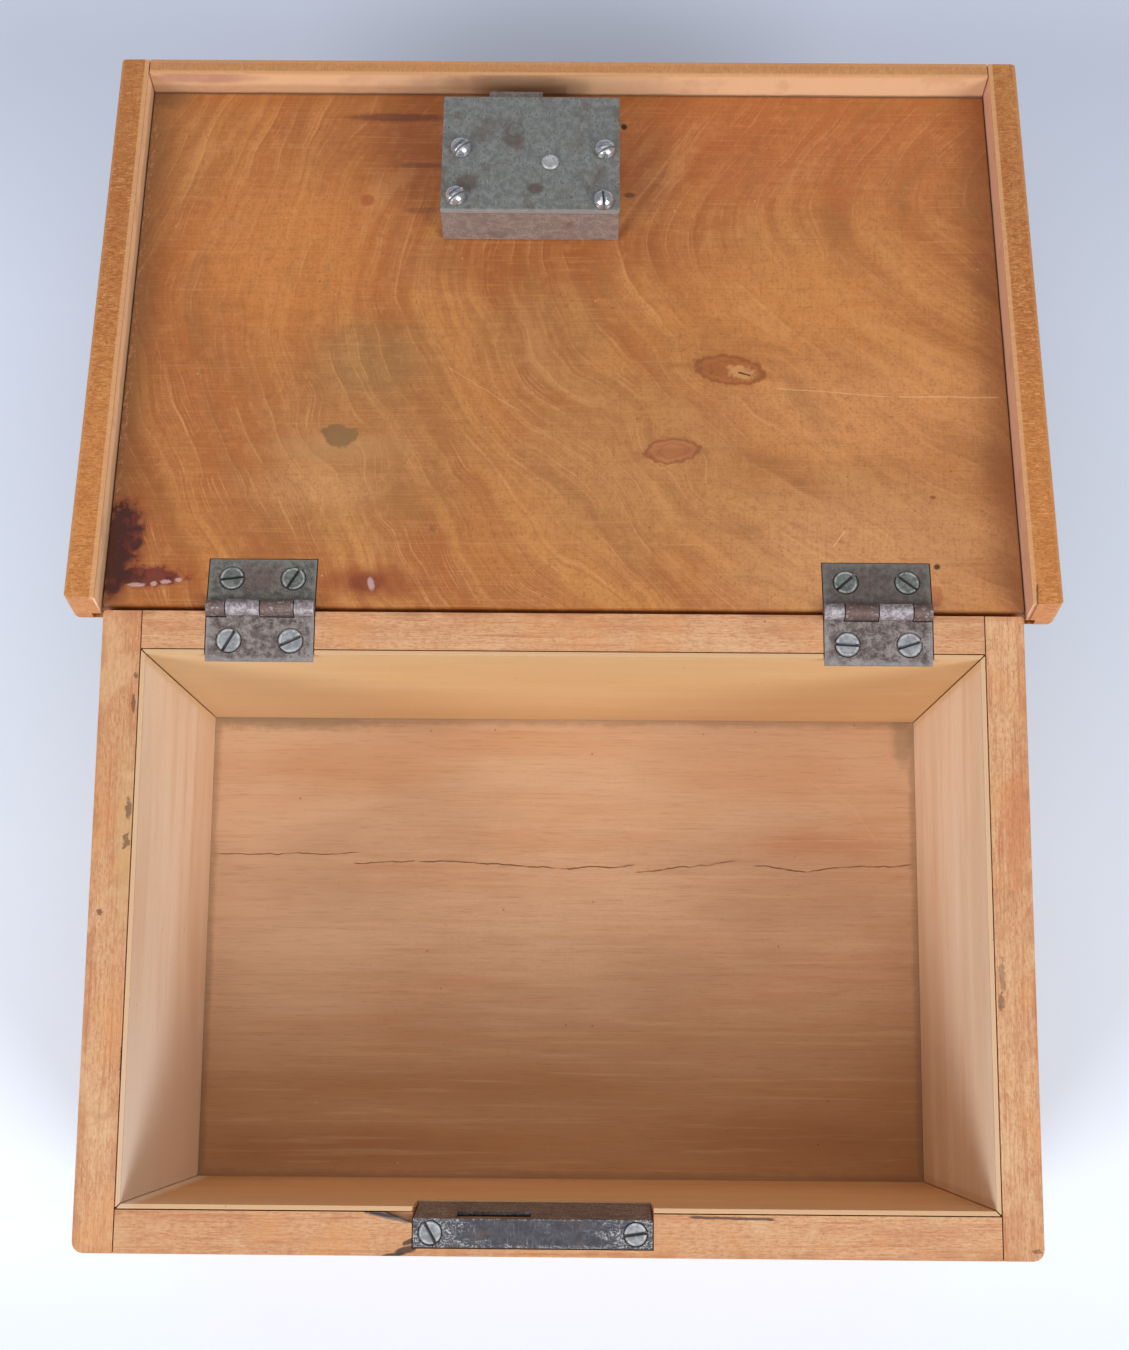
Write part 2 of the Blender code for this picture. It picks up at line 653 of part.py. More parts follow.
def make_strike(front_wall, front_lining):
    place = (STRIKE_X, 0.0, 0.0)
    outline = strike_outline()
    plate = prism("strike_plate", outline, STRIKE_LENGTH, DRAWN_IN_YZ, place, None, STRIKE_STEEL)
    seat_length = STRIKE_LENGTH + 2 * JOINT_GAP
    seat = prism("strike_seat_cutter", strike_seat_outline(), seat_length, DRAWN_IN_YZ, place)
    cut(front_wall, seat)
    cut(front_lining, seat)

    bolt_left = BOLT_X - BOLT_WIDTH / 2 - STRIKE_SLOT_SPARE_LEFT
    bolt_right = BOLT_X + BOLT_WIDTH / 2 + STRIKE_SLOT_SPARE_RIGHT
    slot_foot = HINGE_Z - BOLT_HIGH - STRIKE_SLOT_SPARE_BELOW
    slot_head = RIM - STRIKE_THICKNESS
    low = (bolt_left, HINGE_Y - BOLT_TIP - MORTISE_SPARE, slot_foot)
    mortise = block("bolt_mortise_cutter", low, (bolt_right, FRONT_INSIDE, slot_head))
    low = (bolt_left, STRIKE_FOLD - STRIKE_LEG / 2, slot_foot)
    slot = block("strike_slot_cutter", low, (bolt_right, FRONT_INSIDE + OVERRUN, slot_head))
    cut(front_wall, mortise)
    cut(plate, slot)

    sizes = (STRIKE_SCREW_HEAD_RADIUS, STRIKE_SCREW_SHANK_RADIUS, STRIKE_SCREW_LENGTH)
    for side, name in ((-1, "strike_screw_left"), (1, "strike_screw_right")):
        x = STRIKE_X + side * (STRIKE_LENGTH / 2 - STRIKE_SCREW_INSET)
        place = (x, STRIKE_FRONT + STRIKE_LEG / 2, RIM)
        add_screw(name, countersunk_profile(*sizes), place, None)
        hole = turned(name + "_hole_cutter", countersunk_profile(*sizes, JOINT_GAP))
        hole.location = place
        cut(plate, hole)
        cut(front_wall, hole)


def chip_front_wall(front_wall):
    """The wedge broken out of the wall's inner arris beside the strike."""
    end = STRIKE_X - STRIKE_LENGTH / 2
    outline = (
        (end - CHIP_LENGTH, FRONT_INSIDE),
        (end, FRONT_INSIDE - CHIP_WIDTH),
        (end + OVERRUN, FRONT_INSIDE - CHIP_WIDTH),
        (end + OVERRUN, FRONT_INSIDE + JOINT_GAP),
        (end - CHIP_LENGTH, FRONT_INSIDE + JOINT_GAP),
    )
    height = CHIP_DEPTH + OVERRUN
    place = (0.0, 0.0, RIM - CHIP_DEPTH + height / 2)
    cut(front_wall, prism("chip_cutter", outline, height, Matrix.Identity(4), place))


# Lock

def make_lock_case():
    half = LOCK_WIDTH / 2
    back = LOCK_FRONT - LOCK_HEIGHT
    corners = [(upright_edges(x, y), LOCK_CORNER_ROUND, 2) for x in (-1, 1) for y in (-1, 1)]
    low = (LOCK_X - half, back, LOCK_BACK_Z)
    high = (LOCK_X + half, LOCK_FRONT, LOCK_CASE_TOP)
    case = block("lock_case", low, high, LID, LOCK_STEEL, corners)
    inner = half - LOCK_SHEET
    low = (LOCK_X - inner, back + LOCK_SHEET, LOCK_FLOOR)
    high = (LOCK_X + inner, LOCK_FRONT - LOCK_SHEET, LOCK_CASE_TOP + OVERRUN)
    cavity = block("lock_cavity_cutter", low, high, LID)
    reach = BOLT_WIDTH / 2 + JOINT_GAP
    low = (BOLT_X - reach, LOCK_FRONT - LOCK_SHEET - OVERRUN, BOLT_LOW - JOINT_GAP)
    high = (BOLT_X + reach, LOCK_FRONT + OVERRUN, BOLT_HIGH + JOINT_GAP)
    window = block("bolt_window_cutter", low, high, LID)
    cut(case, cavity, window)
    return case


def make_lock_cover():
    half = LOCK_WIDTH / 2
    corners = [(upright_edges(x, y), LOCK_CORNER_ROUND, 2) for x in (-1, 1) for y in (-1, 1)]
    low = (LOCK_X - half, LOCK_FRONT - LOCK_HEIGHT, LOCK_FACE_Z - LOCK_COVER)
    high = (LOCK_X + half, LOCK_FRONT, LOCK_FACE_Z)
    return block("lock_cover", low, high, LID, LOCK_STEEL, corners)


def make_keyhole(panel, case):
    """A round hole for the key's barrel and a slot for its bit, through the panel and the case."""
    low, high = (KEY_X, KEY_Y, PANEL_OUTER - OVERRUN), (KEY_X, KEY_Y, LOCK_FLOOR + JOINT_GAP)
    barrel = rod("keyhole_barrel_cutter", KEYHOLE_RADIUS, low, high, "Z", LID)
    half = KEYHOLE_SLOT_WIDTH / 2
    low = (KEY_X - half, KEY_Y - KEYHOLE_SLOT_REACH, PANEL_OUTER - OVERRUN)
    high = (KEY_X + half, KEY_Y, LOCK_FLOOR + JOINT_GAP)
    join(barrel, block("keyhole_bit_cutter", low, high, LID))
    cut(panel, barrel)
    cut(case, barrel)


def make_drill_pin(cover):
    """The pin that the key turns on, riveted over outside the cover."""
    foot = PANEL_INNER - DRILL_PIN_REACH
    profile = (
        (0.0, RIVET_HEAD_HEIGHT),
        (RIVET_HEAD_RADIUS - RIVET_HEAD_HEIGHT / 2, RIVET_HEAD_HEIGHT),
        (RIVET_HEAD_RADIUS, RIVET_HEAD_HEIGHT / 2),
        (RIVET_HEAD_RADIUS, 0.0),
        (DRILL_PIN_RADIUS, 0.0),
        (DRILL_PIN_RADIUS, foot - LOCK_FACE_Z),
        (0.0, foot - LOCK_FACE_Z),
    )
    pin = turned("drill_pin", profile, LID, LOCK_STEEL)
    pin.location = (KEY_X, KEY_Y, LOCK_FACE_Z + JOINT_GAP)
    low = (KEY_X, KEY_Y, LOCK_FACE_Z - LOCK_COVER - OVERRUN)
    high = (KEY_X, KEY_Y, LOCK_FACE_Z + OVERRUN)
    hole = rod("drill_pin_hole_cutter", DRILL_PIN_RADIUS + JOINT_GAP, low, high, "Z", LID)
    cut(cover, hole)


def make_bolt():
    """A thick head that passes the case's window, on a thin tail with a guide slot and the key's talon."""
    half = BOLT_WIDTH / 2
    tail_end = BOLT_SHOULDER - BOLT_TAIL_LENGTH
    low = (-half, tail_end - BOLT_TIP, BOLT_LOW)
    high = (half, BOLT_SHOULDER - BOLT_TIP, BOLT_LOW + BOLT_TAIL_THICKNESS)
    tail = block("lock_bolt", low, high, BOLT, LOCK_STEEL)
    low = (-half, BOLT_SHOULDER - BOLT_TIP - JOINT_GAP, BOLT_LOW)
    head = block("bolt_head", low, (half, 0, BOLT_HIGH), BOLT)
    join(tail, head)

    reach = GUIDE_POST_RADIUS + JOINT_GAP
    start = GUIDE_Y - BOLT_TIP
    low = (-reach, start, BOLT_LOW - OVERRUN)
    high = (reach, start + BOLT_THROW, BOLT_HIGH + OVERRUN)
    slot = block("guide_slot_cutter", low, high, BOLT)
    for i, y in enumerate((start, start + BOLT_THROW)):
        low, high = (0, y, BOLT_LOW - OVERRUN), (0, y, BOLT_HIGH + OVERRUN)
        join(slot, rod(f"guide_slot_end_{i}", reach, low, high, "Z", BOLT))
    talon = KEY_Y - BOLT_TIP + BOLT_THROW / 2
    low = (half - TALON_DEPTH, talon - TALON_WIDTH / 2, BOLT_LOW - OVERRUN)
    high = (half + OVERRUN, talon + TALON_WIDTH / 2, BOLT_HIGH + OVERRUN)
    cut(tail, slot, block("talon_cutter", low, high, BOLT))


def make_guide_post():
    low = (BOLT_X, GUIDE_Y, LOCK_FLOOR + JOINT_GAP)
    high = (BOLT_X, GUIDE_Y, LOCK_CASE_TOP)
    rod("bolt_guide_post", GUIDE_POST_RADIUS, low, high, "Z", LID, LOCK_STEEL, SCREW_SIDES)


def make_ward():
    """A ring under the cover that a wrong key would strike, open where the bit comes in."""
    low, high = (KEY_X, KEY_Y, LOCK_CASE_TOP - WARD_HEIGHT), (KEY_X, KEY_Y, LOCK_CASE_TOP)
    ring = rod("ward_ring", WARD_RADIUS, low, high, "Z", LID, LOCK_STEEL, SCREW_SIDES)
    low = (KEY_X, KEY_Y, LOCK_CASE_TOP - WARD_HEIGHT - OVERRUN)
    high = (KEY_X, KEY_Y, LOCK_CASE_TOP + OVERRUN)
    bore = rod("ward_bore_cutter", WARD_RADIUS - WARD_THICKNESS, low, high, "Z", LID, None, SCREW_SIDES)
    half = KEYHOLE_SLOT_WIDTH
    low = (KEY_X - half, KEY_Y - WARD_RADIUS - OVERRUN, LOCK_CASE_TOP - WARD_HEIGHT - OVERRUN)
    high = (KEY_X + half, KEY_Y, LOCK_CASE_TOP + OVERRUN)
    cut(ring, bore, block("ward_gap_cutter", low, high, LID))


def make_bolt_spring():
    """A bent strip whose foot lies along the case's front and whose free end bears on the bolt's side."""
    foot_y = LOCK_FRONT - LOCK_SHEET - JOINT_GAP - SPRING_THICKNESS / 2
    bolt_side = BOLT_X - BOLT_WIDTH / 2 - JOINT_GAP - SPRING_THICKNESS / 2
    foot_x = bolt_side - SPRING_THICKNESS
    bend = SPRING_THICKNESS * 2
    bearing_y = LOCK_Y
    path = (
        (foot_x - SPRING_FOOT, foot_y),
        (foot_x - bend * 2, foot_y),
        (foot_x - bend, foot_y - bend / 2),
        (foot_x - bend / 2, foot_y - bend * 2),
        (bolt_side, bearing_y),
        (bolt_side - bend, bearing_y - bend * 2),
    )
    curve = bpy.data.curves.new("bolt_spring", "CURVE")
    curve.dimensions = "3D"
    curve.extrude = SPRING_HEIGHT / 2
    spline = curve.splines.new("POLY")
    spline.points.add(len(path) - 1)
    for point, (x, y) in zip(spline.points, path):
        point.co = (x, y, 0.0, 1.0)
    spring = add_object("bolt_spring", curve, LID, SCREW_STEEL)
    spring.location.z = LOCK_FLOOR + JOINT_GAP + SPRING_HEIGHT / 2
    sheet = spring.modifiers.new("sheet", "SOLIDIFY")
    sheet.thickness = SPRING_THICKNESS
    sheet.offset = 0.0


def make_lock_screws(panel, case, cover):
    shank = LOCK_SCREW_SHANK_RADIUS
    length = LOCK_THICKNESS + LOCK_SCREW_BITE
    profile = domed_profile(LOCK_SCREW_HEAD_RADIUS, LOCK_SCREW_HEAD_HEIGHT, shank, length)
    for i, (across, along) in enumerate(LOCK_SCREW_SHARES, start=1):
        x = LOCK_X + across * LOCK_WIDTH / 2
        y = LOCK_Y + along * LOCK_HEIGHT / 2
        name = f"lock_screw_{i}"
        add_screw(name, profile, (x, y, LOCK_FACE_Z + JOINT_GAP), LID, LOCK_SCREW_SLOT_DEPTH)
        low, high = (x, y, LOCK_FACE_Z - length - JOINT_GAP), (x, y, LOCK_FACE_Z + OVERRUN)
        radius = shank + JOINT_GAP
        hole = rod(name + "_hole_cutter", radius, low, high, "Z", LID, None, SCREW_SIDES)
        for piece in (panel, case, cover):
            cut(piece, hole)


def build():
    walls = make_walls()
    linings = make_linings()
    make_strike(walls["front_wall"], linings["lining_front"])
    chip_front_wall(walls["front_wall"])
    panel = make_lid_panel()
    make_lid_rails()
    left = HINGE_INSET_LEFT - HALF_WIDTH
    right = HALF_WIDTH - HINGE_INSET_RIGHT - HINGE_WIDTH
    for number, place, mirrored in ((1, left, False), (3, right, True)):
        make_hinge(number, place, mirrored, panel, walls["back_wall"], linings["lining_back"])
    case = make_lock_case()
    cover = make_lock_cover()
    make_keyhole(panel, case)
    make_drill_pin(cover)
    make_bolt()
    make_guide_post()
    make_ward()
    make_bolt_spring()
    make_lock_screws(panel, case, cover)


clear_scene()
PARTS = make_collection("wooden_box")
CUTTERS = make_collection("cutters")

WALL_WOOD = make_material("wall_wood", (0.56, 0.29, 0.14), 0.45)
LINING_WOOD = make_material("lining_wood", (0.55, 0.32, 0.18), 0.5)
FLOOR_WOOD = make_material("floor_wood", (0.42, 0.21, 0.11), 0.5)
PANEL_WOOD = make_material("panel_wood", (0.4, 0.16, 0.055), 0.4)
RAIL_WOOD = make_material("rail_wood", (0.43, 0.18, 0.07), 0.45)
LOCK_STEEL = make_material("lock_steel", (0.18, 0.175, 0.165), 0.45, 0.7)
HINGE_STEEL = make_material("hinge_steel", (0.19, 0.15, 0.14), 0.45, 0.8)
STRIKE_STEEL = make_material("strike_steel", (0.12, 0.11, 0.12), 0.5, 0.8)
SCREW_STEEL = make_material("screw_steel", (0.4, 0.38, 0.37), 0.3, 0.9)

HINGE_LINE = make_empty("hinge_line", (0.0, HINGE_Y, HINGE_Z))
LID = make_empty("lid", (0.0, HINGE_Y, HINGE_Z), -LID_LEAN)
BOLT = make_empty("bolt", (BOLT_X, BOLT_TIP, 0.0), 0.0, LID)

build()
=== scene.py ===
"""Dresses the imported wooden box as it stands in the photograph: open, seen steeply from above.

Lengths in the shaders are millimetres. A piece of the body is shaded by its place in the box's frame, and a
piece of the lid by its place in the lid's own frame: u along the hinge line, v away from it, w out of the
lid's inner face. Colours are red, green and blue from 0 to 255, as a picture gives them.
"""

import functools
import json
import math

import bpy
from mathutils import Matrix, Vector


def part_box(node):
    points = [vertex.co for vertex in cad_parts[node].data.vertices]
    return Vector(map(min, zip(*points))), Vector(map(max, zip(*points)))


MM = 0.001

# The photograph, and the camera that took it: its place in metres and its turns in degrees
PHOTO_HEIGHT_PX = 1350
FOCAL_PX = 2010.2
SENSOR = 36.0
CAMERA_PLACE = (0.00376, -0.0305, 0.66705)
CAMERA_TILT = 10.32
CAMERA_YAW = 0.25
CAMERA_ROLL = 0.43

# The stand and the light, in metres and watts: each lamp's name, place, side and power
FLOOR_HALF = 3.0
# How strongly the paper glows on its left, as painted light
FLOOR_PAINTED_GLOW = 0.19
LAMPS = (
    ("softbox_-1", (-1.9, -1.5, 1.9), 1.4, 48.0),
    ("softbox_1", (1.9, -1.5, 1.9), 1.4, 48.0),
    ("overhead", (0.0, -0.15, 2.4), 2.8, 13.5),
)
LAMP_TARGET = (0.0, 0.05, 0.1)
WORLD_LINEAR_COLOUR = (0.93, 0.96, 1.0, 1.0)
WORLD_STRENGTH = 0.34

# Meshes: points this near each other, in metres, become one, and edges sharper than this are arrises
WELD_DISTANCE = 0.000001
ARRIS_ANGLE = math.radians(32)

# How far each screw's slot is turned from the hinge line, in degrees, and the slot's half width
SLOT_TURNS = {
    "hinge_screw_lid_1": 8, "hinge_screw_lid_2": 60, "hinge_screw_lid_3": 42, "hinge_screw_lid_4": -38,
    "hinge_screw_box_1": 60, "hinge_screw_box_2": 25, "hinge_screw_box_3": -3, "hinge_screw_box_4": 18,
    "lock_screw_1": 40, "lock_screw_2": 25, "lock_screw_3": 35, "lock_screw_4": 95,
    "strike_screw_left": -60, "strike_screw_right": 8,
}
SLOT_HALF_WIDTH = 0.5

# What the panel's and the bottom board's colours are multiplied by
PANEL_TINT = (1.045, 0.985, 0.97)
FLOOR_TINT = (0.985, 0.99, 0.95)

RUST = (108, 84, 70)
BLACK = (52, 48, 46)

# The body's faces, in the box's frame
WALL_TOP = 120.0
HALF_WIDTH = 128.0
HALF_DEPTH = 86.5
LINING = 1.3
INSIDE_HALF_WIDTH = 115.7
INSIDE_FRONT = -73.7
INSIDE_BACK = 74.3
FLOOR_TOP = 8.0
STRIKE_MIDDLE = -6.55
STRIKE_FRONT = -84.25
LEAF_BACK = 72.4

# The lid's faces and knots, in the lid's frame, and the hinges, which lie alike in both frames
PANEL_HALF_WIDTH = 128.6
PANEL_FRONT = 174.2
LOCK_MIDDLE = (-10.8, 141.6)
SMALL_KNOT = (31.0, 50.4)
LARGE_KNOT = (48.0, 77.0)
LEAF_MIDDLES = (-84.2, 87.6)
LEAF_HALF_WIDTH = 15.0
LEAF_REACH = 15.0

# How noise moves for each step of its seed, and which inputs of a Mix node are the factor and the two colours
SEED_STEPS = (173.1, 91.7, 57.3)
MIX_INPUTS = (0, 6, 7)


def linear(red, green, blue):
    """A colour as the shader wants it."""
    out = []
    for value in (red, green, blue):
        share = value / 255
        out.append(share / 12.92 if share <= 0.04045 else ((share + 0.055) / 1.055) ** 2.4)
    return (*out, 1.0)


class Shader:
    """A material's nodes, written as expressions: most methods take numbers or sockets and give a socket.

    The surface's colour is built up in layers. colour is what they come to so far, and paint adds one.
    """

    def __init__(self, name):
        self.material = bpy.data.materials.new(name)
        self.material.use_nodes = True
        self.tree = self.material.node_tree
        self.surface = self.tree.nodes["Principled BSDF"]
        self.kept = {}
        self.colour = None

    def feed(self, socket, value):
        if isinstance(value, bpy.types.NodeSocket):
            self.tree.links.new(value, socket)
        else:
            socket.default_value = value

    def node(self, kind, *values, **settings):
        """A new node, whose first inputs take the values."""
        node = self.tree.nodes.new(kind)
        for key, value in settings.items():
            setattr(node, key, value)
        for socket, value in zip(node.inputs, values):
            self.feed(socket, value)
        return node

    def fill(self, node, **values):
        """The node, with the inputs of those names fed."""
        for name, value in values.items():
            self.feed(node.inputs[name.replace("_", " ")], value)
        return node

    def once(self, key, make):
        """What make gives, made the first time that the key is asked for."""
        if key not in self.kept:
            self.kept[key] = make()
        return self.kept[key]

    def math(self, operation, *values):
        return self.node("ShaderNodeMath", *values, operation=operation).outputs[0]

    def add(self, a, b):
        return self.math("ADD", a, b)

    def subtract(self, a, b):
        return self.math("SUBTRACT", a, b)

    def abs(self, a):
        return self.math("ABSOLUTE", a)

    def chain(self, operation, values):
        """The values joined by one operation, from the left."""
        return functools.reduce(lambda a, b: self.math(operation, a, b), values)

    def times(self, *values):
        return self.chain("MULTIPLY", values)

    def least(self, *values):
        return self.chain("MINIMUM", values)

    def most(self, *values):
        return self.chain("MAXIMUM", values)

    def vector(self, operation, *values):
        node = self.node("ShaderNodeVectorMath", *values, operation=operation)
        return node.outputs["Value" if operation == "LENGTH" else "Vector"]

    def join(self, x, y, z=0.0):
        return self.node("ShaderNodeCombineXYZ", x, y, z).outputs[0]

    def split(self, vector):
        key = ("split", vector.node.name)
        return self.once(key, lambda: self.node("ShaderNodeSeparateXYZ", vector).outputs)

    def blend(self, factor, a, b, how="MIX"):
        """a carried towards b by factor, where a and b are sockets or colours."""
        node = self.node("ShaderNodeMix", data_type="RGBA", blend_type=how, clamp_factor=True)
        for index, value in zip(MIX_INPUTS, (factor, a, b)):
            self.feed(node.inputs[index], linear(*value) if isinstance(value, tuple) else value)
        return node.outputs[2]

    def paint(self, tone, *factors, how="MIX"):
        """Lays a tone over the colour so far, as strongly as the product of the factors."""
        self.colour = self.blend(self.times(*factors), self.colour, tone, how)

    def span(self, value, low, high, out_low=0.0, out_high=1.0, smooth=True):
        """value carried from low..high to out_low..out_high, and held there beyond."""
        kind = "SMOOTHSTEP" if smooth else "LINEAR"
        values = (value, low, high, out_low, out_high)
        return self.node("ShaderNodeMapRange", *values, interpolation_type=kind, clamp=True).outputs[0]

    def fall(self, value, low, high):
        """1 up to low and 0 from high on."""
        return self.span(value, low, high, 1.0, 0.0)

    def sway(self, value, reach):
        """A value from 0 to 1 carried to either side of 0, reach in all."""
        return self.times(self.subtract(value, 0.5), reach)

    def lumps(self, place, size, seed):
        """Place as a texture takes it, so that its lumps are size millimetres, or size along each axis."""
        sizes = size if isinstance(size, tuple) else (size, size, size)
        shifted = self.vector("ADD", place, tuple(seed * step for step in SEED_STEPS))
        return self.vector("MULTIPLY", shifted, tuple(1 / s for s in sizes))

    def noise(self, place, size, detail=2.0, rough=0.5, twist=0.0, seed=0.0):
        """Soft noise, from 0 to 1."""
        node = self.fill(self.node("ShaderNodeTexNoise"), Vector=self.lumps(place, size, seed), Scale=1.0,
                         Detail=detail, Roughness=rough, Distortion=twist)
        return node.outputs[0]

    def cells(self, place, size, seed):
        """The distance from scattered points."""
        node = self.node("ShaderNodeTexVoronoi", feature="F1")
        return self.fill(node, Vector=self.lumps(place, size, seed), Scale=1.0).outputs["Distance"]

    def wobble(self, place, size):
        """Raggedness for outlines, from -0.5 to 0.5."""
        key = ("wobble", place.node.name, size)
        return self.once(key, lambda: self.subtract(self.noise(place, size, 3.0, 0.6, seed=size), 0.5))

    def turned(self, place, centre, cos, sin):
        """How far a place is from a centre, along and across a direction, in the first two axes."""
        x, y, _ = self.split(place)
        dx = self.subtract(x, centre[0])
        dy = self.subtract(y, centre[1])
        along = self.add(self.times(dx, cos), self.times(dy, sin))
        return along, self.subtract(self.times(dy, cos), self.times(dx, sin))

    def spot(self, place, centre, radii, ragged=0.0, grain=3.0, turn=0.0):
        """How far a place is from a centre, as a share of the radii."""
        angle = math.radians(turn)
        along, across = self.turned(place, centre, math.cos(angle), math.sin(angle))
        flat = self.join(self.times(along, 1 / radii[0]), self.times(across, 1 / radii[1]))
        distance = self.vector("LENGTH", flat)
        if ragged:
            distance = self.add(distance, self.times(self.wobble(place, grain), ragged))
        return distance

    def inside(self, distance, edge=0.15):
        """1 inside a spot and 0 outside it."""
        return self.fall(distance, 1 - edge, 1 + edge)

    def blob(self, place, centre, radii, edge, *spot):
        """1 inside the spot at a centre and 0 outside it."""
        return self.inside(self.spot(place, centre, radii, *spot), edge)

    def stroke(self, place, start, end, width, ragged=0.0, grain=5.0):
        """1 along a line between two places and 0 away from it."""
        run, rise = end[0] - start[0], end[1] - start[1]
        half = math.hypot(run, rise) / 2
        middle = ((start[0] + end[0]) / 2, (start[1] + end[1]) / 2)
        along, across = self.turned(place, middle, run / half / 2, rise / half / 2)
        if ragged:
            across = self.add(across, self.times(self.wobble(place, grain), ragged))
        line = self.fall(self.abs(across), width * 0.4, width)
        return self.times(line, self.fall(self.abs(along), half * 0.85, half))

    def finish(self, roughness, height=None, depth=0.05, metal=0.0, **sockets):
        """The material, with height as a bump of depth millimetres."""
        self.fill(self.surface, Base_Color=self.colour, Roughness=roughness, Metallic=metal, **sockets)
        if height is not None:
            bump = self.fill(self.node("ShaderNodeBump"), Strength=1.0, Distance=depth * MM, Height=height)
            self.fill(self.surface, Normal=bump.outputs[0])
        return self.material


def box_place(s):
    """Place in the box's frame, in millimetres."""
    place = s.node("ShaderNodeTexCoord").outputs["Object"]
    return s.vector("MULTIPLY", place, (1 / MM, 1 / MM, 1 / MM))


def lid_place(s):
    """Place in the lid's frame, in millimetres."""
    place = s.node("ShaderNodeTexCoord").outputs["Object"]
    from_hinge = s.vector("SUBTRACT", place, HINGE)
    turned = s.node("ShaderNodeMapping", vector_type="POINT")
    s.fill(turned, Vector=from_hinge, Rotation=(LEAN, 0.0, 0.0))
    return s.vector("MULTIPLY", turned.outputs[0], (1 / MM, 1 / MM, 1 / MM))


# Wood

def grain(s, place, along, pith, seed, warp=3.0):
    """The growth rings, as millimetres from a pith that runs along the fibres, and the place along it."""
    parts = s.split(place)
    a, b, c = [parts[(along + step) % 3] for step in range(3)]
    slow = s.join(s.times(a, 1 / 150), s.times(b, 1 / 45), s.times(c, 1 / 45))
    quick = s.join(s.times(a, 1 / 40), s.times(b, 1 / 9), s.times(c, 1 / 9))
    bend = s.sway(s.noise(slow, 1.0, 1.0, seed=seed), warp * 5)
    wave = s.sway(s.noise(quick, 1.0, 1.0, seed=seed + 1), warp * 0.6)
    radius = s.vector("LENGTH", s.join(s.subtract(b, pith[0]), s.subtract(c, pith[1])))
    return s.add(radius, s.add(bend, wave)), a


def bands(s, rings, along, width, seed, detail=1.5, length=220.0):
    """Noise that follows the rings, with stripes about width millimetres wide."""
    drawn = s.join(s.times(rings, 1 / width), s.times(along, 1 / length))
    return s.noise(drawn, 1.0, detail, 0.55, seed=seed)


def fibres(s, place, along, long_size, fine_size, seed, detail=2.0):
    """Noise drawn out along the fibres."""
    sizes = [fine_size] * 3
    sizes[along] = long_size
    return s.noise(place, tuple(sizes), detail, 0.6, 0.2, seed)


def board(s, place, along, pith, tones, seed, warp=3.0, contrast=1.0):
    """Paints plain planed wood, before its marks, and gives its height: tones are pale, deep and red."""
    pale, deep, red = tones
    rings, length = grain(s, place, along, pith, seed, warp)
    broad = bands(s, rings, length, 9.0, seed + 2)
    line = bands(s, rings, length, 1.3, seed + 3, 2.0)
    streak = fibres(s, place, along, 18.0, 0.5, seed + 4, 3.0)
    pore = fibres(s, place, along, 2.6, 0.2, seed + 5)
    cloud = fibres(s, place, along, 46.0, 8.0, seed + 6, 3.0)
    speckle = s.noise(place, 0.8, 2.0, 0.7, seed=seed + 7)
    s.colour = s.blend(s.span(broad, 0.35, 0.65), pale, deep)
    s.paint(red, s.span(cloud, 0.45, 0.7), 0.6 * contrast)
    s.paint(deep, s.span(line, 0.5, 0.66), 0.5 * contrast)
    s.paint(red, s.span(streak, 0.5, 0.66), 0.5 * contrast)
    s.paint(pale, s.span(streak, 0.44, 0.32), 0.3 * contrast)
    s.paint(red, s.span(pore, 0.52, 0.66), 0.55 * contrast)
    s.paint(pale, s.span(pore, 0.46, 0.34), 0.4 * contrast)
    s.paint(red, s.span(speckle, 0.5, 0.72), 0.5 * contrast)
    return s.add(s.times(streak, 0.4), s.times(pore, 0.6))


def flecked(s, place, dark, light, seed):
    """Sparse small dents and pale specks."""
    dents = s.fall(s.cells(place, 7.0, seed), 0.035, 0.06)
    specks = s.fall(s.cells(place, 11.0, seed + 1), 0.018, 0.03)
    kept = s.span(s.noise(place, 16.0, 1.0, seed=seed + 2), 0.5, 0.6)
    s.paint(dark, dents, kept, 0.6)
    s.paint(light, specks, 0.5)


def near_faces(s, x, y, start, end):
    """For each axis, 0 to 1 from start to end millimetres inside the walls' outer faces."""
    halves = ((x, HALF_WIDTH), (y, HALF_DEPTH))
    return [s.span(s.abs(value), half - start, half - end) for value, half in halves]


def on_rim(s, place):
    """1 on the rim, and 0 on the walls' faces below it."""
    return s.span(s.split(place)[2], WALL_TOP - 2.5, WALL_TOP - 1.0)


